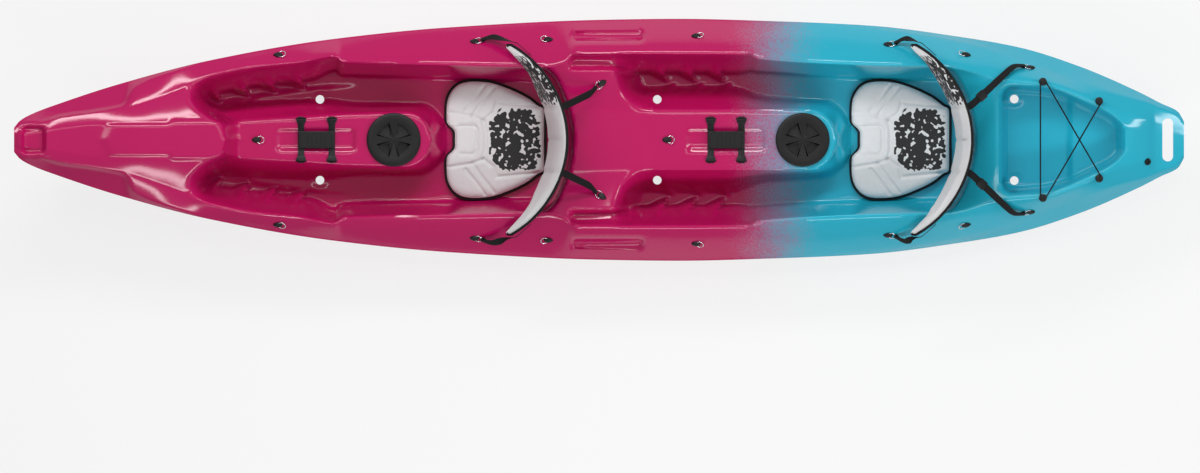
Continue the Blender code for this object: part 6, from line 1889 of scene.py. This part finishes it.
class KAYAK_OT_studio(bpy.types.Operator):
    """Builds the pale floor, the soft lights and the camera"""

    bl_idname = "kayak.studio"
    bl_label = "Studio"

    def execute(self, context):
        studio = context.scene.kayak_studio
        corners = [(x * FLOOR_HALF, y * FLOOR_HALF, FLOOR_HEIGHT) for x, y in ((-1, -1), (1, -1), (1, 1), (-1, 1))]
        floor = new_object("floor", mesh_of("floor", corners, [(0, 1, 2, 3)], False))
        floor.data.materials.append(self.floor_material(studio))
        self.world(context.scene, studio)
        for name, spot, size, share in LIGHTS:
            light = bpy.data.lights.new(name, "AREA")
            light.shape = "RECTANGLE"
            light.size, light.size_y = size
            light.energy = studio.key_power * share
            lamp = bpy.data.objects.new(name, light)
            context.scene.collection.objects.link(lamp)
            lamp.location = spot
            lamp.rotation_euler = (Vector(LIGHTS_AIM) - Vector(spot)).to_track_quat("-Z", "Y").to_euler()
        self.camera(context.scene)
        context.scene.view_settings.view_transform = "Standard"
        return {"FINISHED"}

    def floor_material(self, studio):
        material, build, shader = new_material("studio_floor")
        tone = studio.floor_tone
        shader.inputs["Base Color"].default_value = (tone, tone, tone, 1.0)
        shader.inputs["Roughness"].default_value = 0.9
        shader.inputs["Specular IOR Level"].default_value = 0.1
        where = build.node("ShaderNodeTexCoord").outputs["Object"]
        add_bump(build, shader, build.noise(where, 300.0, 2.0), 0.02, 0.0004)
        glow = build.node("ShaderNodeEmission", Color=(1.0, 1.0, 1.0, 1.0), Strength=FLOOR_GLOW)
        paths = build.node("ShaderNodeLightPath")
        seen = build.math("MULTIPLY", paths.outputs["Is Camera Ray"], FLOOR_GLOW_SHARE)
        mix = build.node("ShaderNodeMixShader")
        output = material.node_tree.nodes["Material Output"]
        build.link(seen, mix.inputs[0])
        build.link(shader.outputs[0], mix.inputs[1])
        build.link(glow.outputs[0], mix.inputs[2])
        build.link(mix.outputs[0], output.inputs["Surface"])
        return material

    def world(self, scene, studio):
        world = bpy.data.worlds.new("studio_sky")
        scene.world = world
        world.use_nodes = True
        build = Shading(world.node_tree)
        sky = world.node_tree.nodes["Background"]
        sky.inputs["Color"].default_value = (1.0, 1.0, 1.0, 1.0)
        paths = build.node("ShaderNodeLightPath")
        seen = build.math("MAXIMUM", paths.outputs["Is Camera Ray"], paths.outputs["Is Transmission Ray"])
        extra = build.math("MULTIPLY", seen, 1.0 - studio.sky)
        build.link(build.math("ADD", extra, studio.sky), sky.inputs["Strength"])

    def camera(self, scene):
        data = bpy.data.cameras.new("camera")
        camera = bpy.data.objects.new("camera", data)
        scene.collection.objects.link(camera)
        scene.camera = camera
        pixel = HULL_LENGTH / (PHOTO_STERN_PIXEL - PHOTO_BOW_PIXEL)
        data.type = "ORTHO"
        data.ortho_scale = pixel * PHOTO_WIDTH
        middle = (PHOTO_BOW_PIXEL + PHOTO_STERN_PIXEL) / 2
        camera.location = ((PHOTO_WIDTH / 2 - middle) * pixel, (PHOTO_MIDDLE_ROW - PHOTO_HEIGHT / 2) * pixel,
                           CAMERA_HEIGHT)
        camera.rotation_euler = (0.0, 0.0, 0.0)


class KAYAK_PT_panel(bpy.types.Panel):
    """Buttons for every step, and the settings they read"""

    bl_idname = "KAYAK_PT_panel"
    bl_label = "Kayak"
    bl_space_type = "VIEW_3D"
    bl_region_type = "UI"
    bl_category = "Kayak"

    def draw(self, context):
        for group in (context.scene.kayak_finish, context.scene.kayak_seating, context.scene.kayak_studio):
            for key in group.__annotations__:
                self.layout.prop(group, key)
        for operator in OPERATORS:
            self.layout.operator(operator.bl_idname)


OPERATORS = (KAYAK_OT_hull, KAYAK_OT_hatches, KAYAK_OT_console_fittings, KAYAK_OT_seats, KAYAK_OT_backrests,
             KAYAK_OT_seat_straps, KAYAK_OT_deck_eyes, KAYAK_OT_bungee, KAYAK_OT_studio)
CLASSES = (KayakFinish, KayakSeating, KayakStudio, *OPERATORS, KAYAK_PT_panel)


def register():
    for each in CLASSES:
        bpy.utils.register_class(each)
    bpy.types.Scene.kayak_finish = bpy.props.PointerProperty(type=KayakFinish)
    bpy.types.Scene.kayak_seating = bpy.props.PointerProperty(type=KayakSeating)
    bpy.types.Scene.kayak_studio = bpy.props.PointerProperty(type=KayakStudio)


def unregister():
    for name in ("kayak_finish", "kayak_seating", "kayak_studio"):
        delattr(bpy.types.Scene, name)
    for each in reversed(CLASSES):
        bpy.utils.unregister_class(each)


def main():
    register()
    bpy.ops.kayak.hull()
    bpy.ops.kayak.hatches()
    bpy.ops.kayak.console_fittings()
    bpy.ops.kayak.seats()
    bpy.ops.kayak.backrests()
    bpy.ops.kayak.seat_straps()
    bpy.ops.kayak.deck_eyes()
    bpy.ops.kayak.bungee()
    bpy.ops.kayak.studio()


if __name__ == "__main__":
    main()
